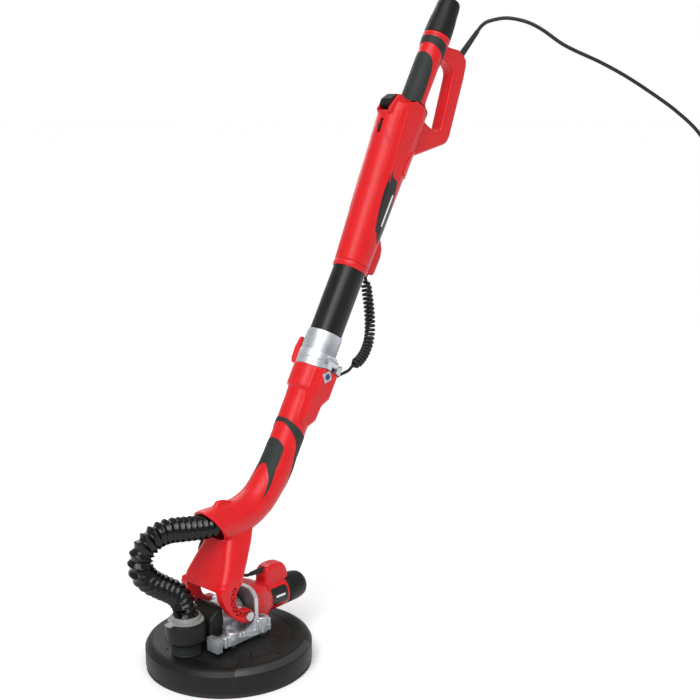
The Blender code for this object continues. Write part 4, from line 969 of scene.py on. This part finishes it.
def build_housing_trim():
    lines = []
    for side in (1.0, -1.0):
        for route, radius in ((((0.928, 55.0), (0.88, 55.5), (0.83, 54.0), (0.79, 51.0), (0.745, 52.0)),
                0.0012), (((0.926, 74.0), (0.88, 76.0), (0.83, 80.0), (0.802, 84.0)), 0.0012),
                (((0.935, 98.0), (0.9, 112.0), (0.865, 118.0), (0.83, 116.0)), 0.0011),
                (((0.756, 19.0), (0.753, 10.0), (0.7535, 3.0)), 0.0006),
                (((0.784, 19.0), (0.779, 10.0), (0.7795, 3.0)), 0.0006),
                (((0.818, 22.0), (0.813, 12.0), (0.8135, 3.0)), 0.0006),
                (((0.848, 22.0), (0.843, 12.0), (0.8435, 3.0)), 0.0006),):
            lines.append(bead(housing_surface, [(s, 180.0 + side * a) for s, a in route], radius, 0.45))
    for low, high in ((283.0, 350.0), (10.0, 77.0)):
        rows = [(0.831, low + 8.0, high - 4.0), (0.833, low, high), (0.856, low + 2.0, high),
            (0.874, low + 14.0, high)]
        lines.append(skin_patch(housing_surface, rows, -0.001, 0.0021, 20))
    ribs = mesh_object("housing_mould_ribs", joined(*lines))
    piece(ribs, RED, "upper_arm")
    blades = []
    bars = []
    for side in (1.0, -1.0):
        rows = [(0.824, 82.5, 83.5), (0.812, 79.0, 92.0), (0.797, 76.0, 101.0), (0.7846, 74.5, 107.5),
            (0.7656, 76.5, 118.0), (0.7482, 80.0, 125.0), (0.7341, 84.0, 128.0), (0.7196, 91.0, 122.0),
            (0.713, 99.0, 115.0), (0.7075, 106.5, 108.5)]
        blades.append(skin_patch(housing_surface, [(s, 180 + side * a, 180 + side * b) for s, a, b in rows],
            -0.0006, 0.00035, 40))
        rows = [(0.789, 91.0, 94.0), (0.786, 91.0, 97.5), (0.74, 92.5, 99.0), (0.736, 94.5, 97.5)]
        bars.append(skin_patch(housing_surface, [(s, 180 + side * a, 180 + side * b) for s, a, b in rows],
            0.0001, 0.00055, 12))
    piece(mesh_object("housing_blade_film", joined(*blades)), LABEL, "upper_arm")
    piece(mesh_object("housing_blade_bar", joined(*bars)), SILVER, "upper_arm")
    rows = [(1.038, 174.0, 186.0), (1.0372, 158.0, 202.0), (1.035, 141.0, 219.0), (1.031, 126.0, 234.0),
        (1.024, 112.0, 248.0), (1.01, 103.0, 257.0), (0.995, 99.5, 260.5), (0.964, 99.0, 261.0),
        (0.956, 96.0, 264.0), (0.951, 89.0, 271.0), (0.9485, 84.0, 276.0)]
    patch = mesh_object("upper_grip_patch", skin_patch(housing_surface, rows, count=60))
    piece(patch, RUBBER, "upper_arm", ("upper_grip_inlay",))
    half = [(0.0, 1.0557, 1.068), (32.0, 1.0547, 1.0678), (59.0, 1.0525, 1.0675), (78.0, 1.0495, 1.0658),
        (102.0, 1.0462, 1.063), (122.0, 1.04, 1.057), (134.0, 1.032, 1.049), (139.0, 1.0285, 1.031)]
    shapes = []
    for side in (-1.0, 1.0):
        rows = [(180.0 + side * a, b, c) for a, b, c in half]
        shapes.append(skin_patch(housing_surface, rows, count=14, across=True, samples=70))
    strap = mesh_object("upper_grip_strap", joined(*shapes))
    piece(strap, RUBBER, "upper_arm", ("upper_grip_band",))


def build_connector():
    def fluted(radius, height, angle):
        if 1.08 < height < 1.112 and radius > 0.019:
            return radius - 0.00035 * (1.0 + cos(angle * 36.0)) / 2.0
        return radius

    profile = [(0.016, 1.06), (0.0172, 1.06), (0.0172, 1.0773), (0.0222, 1.0773), (0.023, 1.0785),
        (0.0231, 1.081), (0.0229, 1.086), (0.0226, 1.095), (0.0219, 1.106), (0.0212, 1.112), (0.0205, 1.118),
        (0.02, 1.126), (0.0196, 1.133), (0.0188, 1.139), (0.018, 1.1418), (0.0172, 1.143), (0.0163, 1.1428),
        (0.016, 1.1415)]
    made = mesh_object("connector_cuff", turned(profile, 180, (0, 0, 0), "Z", fluted), POLE, 50.0)
    piece(made, BLACK, "connector", ("hose_connector",))


def build_controls():
    def knurled(radius, height, angle):
        if radius > 0.0105:
            return radius - 0.0006 * (1.0 + cos(angle * 30.0)) / 2.0
        return radius

    centre = Vector((-0.0418, 0.0, 0.8865))
    profile = [(0.0015, -0.0026), (0.0104, -0.0026), (0.011, -0.002), (0.011, 0.002), (0.0104, 0.0026),
        (0.0015, 0.0026)]
    wheel = mesh_object("speed_dial_knurled", turned(profile, 180, centre, "Y", knurled), POLE, 50.0)
    piece(wheel, BLACK, "dial", ("speed_dial",))
    outline = [(-0.059, 0.9185), (-0.044, 0.9165), (-0.044, 0.9425), (-0.05, 0.9425), (-0.059, 0.929)]
    switch = mesh_object("power_switch_key", prism(outline, -0.01, 0.01), POLE)
    ridges = []
    for k in range(4):
        low = 0.9195 + 0.0024 * k
        ridges.append(block((-0.0598, -0.0085, low), (-0.0586, 0.0085, low + 0.0012)))
    carve(switch, ridges, "UNION", POLE, 32.0)
    soft_edges(switch, 0.0005, 2)
    piece(switch, BLACK, "switch", ("power_switch",))


# ---- head ---------------------------------------------------------------
def build_casting():
    outline = [(-0.06, -0.04), (-0.04, -0.05), (0.04, -0.05), (0.044, -0.044), (0.044, 0.044), (0.04, 0.05),
        (-0.04, 0.05), (-0.06, 0.04)]
    made = mesh_object("gear_housing_cast", prism(outline, 0.052, 0.06, "Z"))
    wall = [(-0.066, 0.0475), (-0.059, 0.0475), (-0.0565, 0.053), (-0.052, 0.0565), (-0.0465, 0.0565),
        (-0.0425, 0.053), (-0.04, 0.0495), (-0.03, 0.048), (-0.018, 0.0482), (-0.006, 0.049), (0.004, 0.0505),
        (0.012, 0.0535), (0.017, 0.0565), (0.038, 0.0565), (0.038, 0.0735), (0.02, 0.0745), (0.013, 0.083),
        (0.0095, 0.076), (0.003, 0.069), (-0.008, 0.0645), (-0.02, 0.065), (-0.04, 0.0665), (-0.056, 0.0675),
        (-0.062, 0.069), (-0.066, 0.068)]
    face = [(y, z + FLANGE_HEIGHT) for y, z in rounded(0.0445, 0.0335, 0.02, 10)]
    shapes = [prism(face, 0.013, 0.0196, "X"), turned(rod(0.0227, -0.03, 0.0135), 72, (0, 0, MOTOR_AXIS), "X"),
        turned(rod(0.0235, 0.047, 0.0707), 72)]
    for side in (-1.0, 1.0):
        low, high = sorted((side * 0.042, side * 0.0462))
        shapes.append(prism(wall, low, high))
        for x, reach, top in ((-0.047, 0.0034, 0.066), (-0.04, 0.003, 0.0655), (-0.018, 0.0032, 0.064),
                (-0.0115, 0.0026, 0.064), (0.011, 0.0028, 0.077), (0.0385, 0.003, 0.07)):
            shapes.append(turned(rod(reach, 0.0505, top, 0.0006), 32, (x, side * 0.0465, 0.0)))
        low, high = sorted((side * 0.0276, side * 0.05))
        shapes.append(block((-0.066, low, 0.0475), (-0.056, high, 0.068)))
        for x, high in zip(STUDS_X, (0.069, 0.0745)):
            shapes.append(turned(rod(0.0095, 0.05, high, 0.0008), 48, (x, side * STUD_Y, 0.0)))
        shapes.append(turned(rod(0.005, 0.0515, 0.0735, 0.0008), 32, (0.0175, side * 0.046, 0.0)))
        trunnion = turned(rod(0.0105, 0.02, 0.0322), 48, TILT, "Y")
        if side < 0:
            trunnion = ([Vector((v.x, -v.y, v.z)) for v in trunnion[0]], trunnion[1])
        shapes.append(trunnion)
    carve(made, shapes, "UNION")
    cuts = [block((0.02, -0.0305, 0.045), (0.09, 0.0305, 0.12)), turned(rod(0.0299, 0.045, 0.095), 64,
        (PORT_X, 0, 0)), turned(rod(0.0145, 0.044, 0.064), 48)]
    for side in (-1.0, 1.0):
        for x in STUDS_X:
            cuts.append(turned(rod(0.0042, 0.045, 0.08), 32, (x, side * STUD_Y, 0.0)))
    carve(made, cuts)
    soft_edges(made, 0.0009, 3, 38.0)
    piece(made, ALUMINIUM, "head", ("gear_housing",))
    # Painted shade: a darker grey plate laid over the flange's -X face stands for the shadow on that face, not
    # for a paint on the casting.
    inner = [(y, z + FLANGE_HEIGHT) for y, z in rounded(0.0425, 0.0315, 0.0185, 10)]
    plate = mesh_object("flange_face_painted_shade", prism(inner, 0.01275, 0.0132, "X"))
    window = turned(rod(0.0262, 0.01, 0.016), 64, (0, 0, MOTOR_AXIS), "X")
    foot = block((0.0, -0.06, 0.04), (0.03, 0.06, 0.064))
    carve(plate, [window, foot], sharp=32.0)
    piece(plate, finish("flange_painted_shade", (0.16, 0.15, 0.16), 0.42, 0.6, 0.15, 60.0, 1500.0, 0.3, 0.1), "head")


MOTOR_STATIONS = ((0.0203, 0.0288, 0.0293, 0.01, 0.083), (0.0215, 0.03, 0.0305, 0.01, 0.083),
    (0.036, 0.03, 0.0305, 0.01, 0.083), (0.046, 0.0292, 0.0297, 0.011, 0.0827),
    (0.056, 0.0272, 0.0276, 0.014, 0.0818), (0.064, 0.025, 0.0252, 0.0195, 0.0806),
    (0.07, 0.024, 0.024, 0.0235, MOTOR_AXIS), (0.1065, 0.0233, 0.0233, 0.0229, MOTOR_AXIS),
    (0.107, 0.023, 0.023, 0.0226, MOTOR_AXIS),)


def build_motor():
    rings = []
    for x, half_y, half_z, corner, height in MOTOR_STATIONS:
        rings.append([(x, y, z + height) for y, z in rounded(half_y, half_z, corner, 10)])
    lug_outline = [(0.064, 0.098), (0.065, 0.118), (0.0675, 0.1245), (0.072, 0.129), (0.08, 0.1312),
        (0.093, 0.1312), (0.103, 0.129), (0.109, 0.123), (0.1135, 0.112), (0.114, 0.1)]
    lug = rounded_prism(lug_outline, 0.0125, 0.005)
    made = melted("motor_shell", joined(loft(rings), lug), 0.0009, 4)
    cuts = [block((0.107, -0.03, 0.05), (0.13, 0.03, 0.1037)), turned(rod(0.0048, 0.06, 0.078), 32,
        (0, 0, CABLE_HEIGHT), "X"), turned(rod(0.0185, 0.04, 0.12), 48, (0, 0, MOTOR_AXIS), "X"),
        turned(rod(0.0104, 0.01, 0.05), 48, (0, 0, MOTOR_AXIS), "X")]
    for y in (-0.0235, 0.0235):
        cuts.append(turned(rod(0.0022, 0.01, 0.0225), 24, (0, y, 0.106), "X"))
    carve(made, cuts)
    soft_edges(made, 0.0006, 2, 45.0)
    piece(made, RED, "head", ("motor_housing",))
    low = 0.1073
    profile = [(0.02, low), (0.0228, low), (0.0232, low + 0.0005), (0.023, 0.12), (0.0228, 0.128),
        (0.0222, 0.135), (0.0212, 0.141), (0.0196, 0.1455), (0.0175, 0.1482), (0.015, 0.1496), (0.014, 0.15),
        (0.0, 0.15), (0.0, 0.145), (0.016, 0.1445), (0.0188, 0.138), (0.02, 0.126)]
    cap = mesh_object("motor_cap", turned(profile, 96, (0, 0, MOTOR_AXIS), "X"), UP, 40.0)
    vents = []
    for k in range(5):
        z = MOTOR_AXIS - 0.01 + 0.005 * k
        vents.append(block((0.145, -0.009, z - 0.0009), (0.152, 0.009, z + 0.0009)))
    carve(cap, vents)
    piece(cap, BLACK, "head", ("motor_end_cap",))
    build_label()
    relief = []
    for i in range(31):
        x = 0.0765 - (0.0305 * i / 30.0)
        radius = 0.0046 if x > 0.066 else 0.0045 - 0.0012 * (0.066 - x) / 0.02
        if 0.049 < x < 0.066 and i % 3 == 0:
            radius -= 0.0006
        relief.append((radius, x))
    relief = [(0.0, 0.0765)] + relief + [(0.0, 0.046)]
    gland = mesh_object("motor_cable_gland", turned(relief, 40, (0, 0, CABLE_HEIGHT), "X"))
    piece(gland, RUBBER, "head", ("motor_cable_relief",))


def motor_side(x, z):
    """The motor shell's skin on its -Y side, at a distance and a height."""
    for first, second in zip(MOTOR_STATIONS, MOTOR_STATIONS[1:]):
        if x <= second[0]:
            break
    share = (x - first[0]) / (second[0] - first[0])
    half_y, half_z, corner, middle = [first[k] + (second[k] - first[k]) * share for k in range(1, 5)]
    over = abs(z - middle) - (half_z - corner)
    if over <= 0.0:
        return half_y
    return half_y - corner + sqrt(max(0.0, corner * corner - over * over))


def build_label():
    plates = []
    for low, high, lift, half, mid in ((0.069, 0.102, 0.0007, 0.0125, 0.084),
            (0.076, 0.096, 0.001, 0.0016, 0.084)):
        rows = 14
        corner = min(0.003, half * 0.8)
        rings = []
        for j in range(rows + 1):
            x = low + (high - low) * j / rows
            reach = half
            edge = min(x - low, high - x)
            if edge < corner:
                reach = half - corner + sqrt(max(0.0, corner ** 2 - (corner - edge) ** 2))
            top = []
            under = []
            for k in range(13):
                z = mid - reach + 2.0 * reach * k / 12
                top.append((x, -(motor_side(x, z) + lift), z))
                under.append((x, -(motor_side(x, z) - 0.0008), z))
            rings.append(top + under[::-1])
        plates.append(loft(rings))
    piece(mesh_object("motor_label", plates[0]), LABEL, "head")
    piece(mesh_object("motor_label_bar", plates[1]), SILVER, "head")


def build_duct():
    profile = [(0.0195, 0.063), (0.028, 0.063), (0.0295, 0.0645), (0.0295, 0.0885), (0.0285, 0.0905),
        (0.027, 0.091), (0.0195, 0.091)]
    made = mesh_object("dust_duct_moulding", turned(profile, 96, (PORT_X, 0, 0)))
    hood = [(PORT_X + 0.0235, 0.0603), (PORT_X + 0.0235, 0.089), (-0.05, 0.096), (-0.04, 0.103),
        (-0.034, 0.105), (-0.034, 0.0603)]
    body = rounded_prism(hood, 0.027, 0.0035)
    carve(made, [body], "UNION", sharp=32.0)
    carve(made, [turned(rod(0.028, 0.091, 0.11), 64, (PORT_X, 0, 0))], sharp=32.0)
    soft_edges(made, 0.0008, 2, 40.0)
    piece(made, BLACK, "head", ("dust_duct",))
    low = 0.0913
    ring_profile = [(0.0193, low), (0.0258, low), (0.0262, low + 0.0005), (0.0262, low + 0.0022),
        (0.024, low + 0.003), (0.0222, low + 0.0034), (0.0218, low + 0.0085), (0.0212, low + 0.009),
        (0.0193, low + 0.009)]
    lock = mesh_object("hose_lock_collar", turned(ring_profile, 96, (PORT_X, 0, 0)))
    carve(lock, [block((PORT_X - 0.034, -0.006, low), (PORT_X - 0.025, 0.006, low + 0.0024))], "UNION",
        sharp=32.0)
    soft_edges(lock, 0.0004, 2, 40.0)
    piece(lock, CLEAR, "hose_ring", ("hose_lock_ring",))
    folds = [(0.0172, 0.043), (0.0222, 0.043)]
    for k in range(6):
        low = 0.0437 + 0.0031 * k
        folds += [(0.0222, low), (0.0217, low + 0.0007), (0.0196, low + 0.0014), (0.0217, low + 0.0023)]
    folds += [(0.0222, 0.0622), (0.0222, 0.0626), (0.0172, 0.0626)]
    bellows = mesh_object("duct_bellows_folds", turned(folds, 72, (PORT_X, 0, 0)), UP, 60.0)
    piece(bellows, RUBBER, None, ("duct_bellows",))
    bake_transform(bellows)
    knob = mesh_object("port_screw", turned([(0.0, 0.0434), (0.007, 0.0434), (0.007, 0.05), (0.006, 0.0515),
        (0.0, 0.0515)], 6, (-0.056, -0.033, 0.0)))
    soft_edges(knob, 0.0005, 2)
    piece(knob, BOLT, "shroud_ring")


def segment_outline(grow):
    return [(-0.036 - grow, -0.069 + grow), (0.039 + grow, -0.069 + grow), (0.0775 + grow, -0.11),
        (0.15 + grow, -0.19), (-0.15 - grow, -0.19), (-0.0775 - grow, -0.0985)]


def shroud_profile():
    return [(0.1248, 0.007), (0.125, 0.0073), (0.125, 0.0322), (0.1246, 0.033), (0.124, 0.0335),
        (0.1222, 0.0372), (0.1195, 0.0395), (0.1165, 0.0411), (0.113, 0.0421), (0.11, 0.0425), (0.0955, 0.0425),
        (0.0945, 0.0419), (0.0925, 0.0419), (0.0915, 0.0425), (0.027, 0.0425), (0.027, 0.0395), (0.111, 0.0395),
        (0.122, 0.031), (0.122, 0.007)]


def build_shroud():
    wide = prism(segment_outline(0.00035), -0.01, 0.08, "Z")
    narrow = prism(segment_outline(-0.00015), -0.01, 0.08, "Z")
    made = mesh_object("shroud_moulding", turned(shroud_profile(), 240), UP, 28.0)
    studs = [turned(rod(0.0034, 0.0405, 0.064), 24, (x, y, 0.0)) for y in (-STUD_Y, STUD_Y) for x in STUDS_X]
    carve(made, studs, "UNION", UP, 28.0)
    cuts = [turned(rod(0.017, 0.03, 0.05), 61, (PORT_X, 0, 0)), wide]
    for degrees, radius in ((168.0, 0.104), (186.0, 0.106)):
        angle = radians(degrees)
        centre = Vector((radius * cos(angle), radius * sin(angle), 0.0416))
        turn = Matrix.Translation(centre) @ Matrix.Rotation(angle + radians(60.0), 4, "Z")
        slot = block((-0.0085, -0.0016, 0.0), (0.0085, 0.0016, 0.004))
        cuts.append(([turn @ v for v in slot[0]], slot[1]))
    carve(made, cuts, "DIFFERENCE", UP, 28.0)
    piece(made, BLACK, "shroud_ring", ("shroud",))
    part = mesh_object("shroud_segment_moulding", turned(shroud_profile(), 240), UP, 28.0)
    carve(part, [narrow], "INTERSECT", UP, 28.0)
    creases = []
    for a, b in (((0.02, -0.0705), (0.06, -0.1)), ((-0.02, -0.0705), (-0.045, -0.102)),
            ((0.0, -0.0705), (0.004, -0.108))):
        start, end = Vector((*a, 0.0425)), Vector((*b, 0.0425))
        creases.append(swept((start, end), 0.0011, 8))
    carve(part, creases, "DIFFERENCE", UP, 28.0)
    piece(part, BLACK, "segment", ("shroud_segment",))
    # Painted highlight: the upward-facing rounded rim of the segment takes the paler material, standing for the
    # lit line along it.
    part.data.materials.append(RIM_HIGHLIGHT)
    for polygon in part.data.polygons:
        centre = polygon.center
        if 0.0335 < centre.z < 0.0415 and hypot(centre.x, centre.y) > 0.114 and polygon.normal.z > 0.1:
            polygon.material_index = 1


def build_bristles():
    def tufted(radius, height, angle):
        share = (0.0067 - height) / 0.0062
        tuft = sin(angle * 300.0) * 0.5 + sin(angle * 173.0 + 1.0) * 0.5
        return radius + 0.0004 * tuft * share

    profile = [(0.1205, 0.0005), (0.124, 0.0005), (0.1238, 0.0035), (0.1236, 0.0067), (0.1207, 0.0067)]
    for name, body, slot, node, operation, grow in (("brush_tufts", "shroud_ring", "brush_skirt", "brush_skirt",
            "DIFFERENCE", 0.0003), ("segment_tufts", "segment", "segment_brush", "segment_brush", "INTERSECT",
            -0.00015)):
        made = mesh_object(name, turned(profile, 1080, (0, 0, 0), "Z", tufted), UP, 60.0)
        carve(made, [prism(segment_outline(grow), -0.01, 0.08, "Z")], operation, UP, 60.0)
        piece(made, BRISTLE, body, (node,))


# ---- the CAD nodes that stay --------------------------------------------
def dress_nodes():
    dress = {"abrasive_disc": GRIT, "pad_foam": FOAM, "pad_plate": BLACK, "spindle": STEEL, "bevel_gear": STEEL,
        "armature": COPPER, "bevel_pinion": STEEL, "cooling_fan": BLACK, "spindle_bearing": STEEL,
        "nose_seal": RUBBER, "front_bearing": STEEL, "rear_bearing": STEEL, "stator": STEEL,
        "carbon_brush_left": DARK, "carbon_brush_right": DARK, "pivot_pin_left": STEEL,
        "pivot_pin_right": STEEL, "float_spring_0": STEEL, "float_spring_1": STEEL, "float_spring_2": STEEL,
        "float_spring_3": STEEL, "fold_pin": STEEL, "latch_lever": RED, "pole_tube": TUBE, "inner_duct": BLACK,
        "speed_controller": BLACK, "plug": LEAD, "plug_pin_left": BRASS, "plug_pin_right": BRASS,
        "trigger": BLACK}
    for name, material in dress.items():
        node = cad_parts[name]
        for slot in node.material_slots:
            slot.material = material
    for name, width in (("latch_lever", 0.0012), ("trigger", 0.001), ("plug", 0.0012)):
        soft_edges(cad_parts[name], width, 3, 40.0)


def build_tube():
    profile = [(0.024, 0.5046), (0.0257, 0.5046), (0.026, 0.5049), (0.026, 0.6997), (0.0257, 0.7), (0.024, 0.7)]
    tube = mesh_object("pole_tube_drawn", turned(profile, 128), POLE)
    piece(tube, TUBE, "upper_arm", ("pole_tube",))


build_dust_hose()
build_motor_cable()
build_curly_cord()
build_mains_cord()
build_relief()
build_light()
build_floor()
dress_nodes()
build_tube()
build_lower_arm()
build_arm_trim()
build_fold_joint()
build_upper_housing()
build_housing_trim()
build_connector()
build_controls()
build_casting()
build_motor()
build_duct()
build_shroud()
build_bristles()
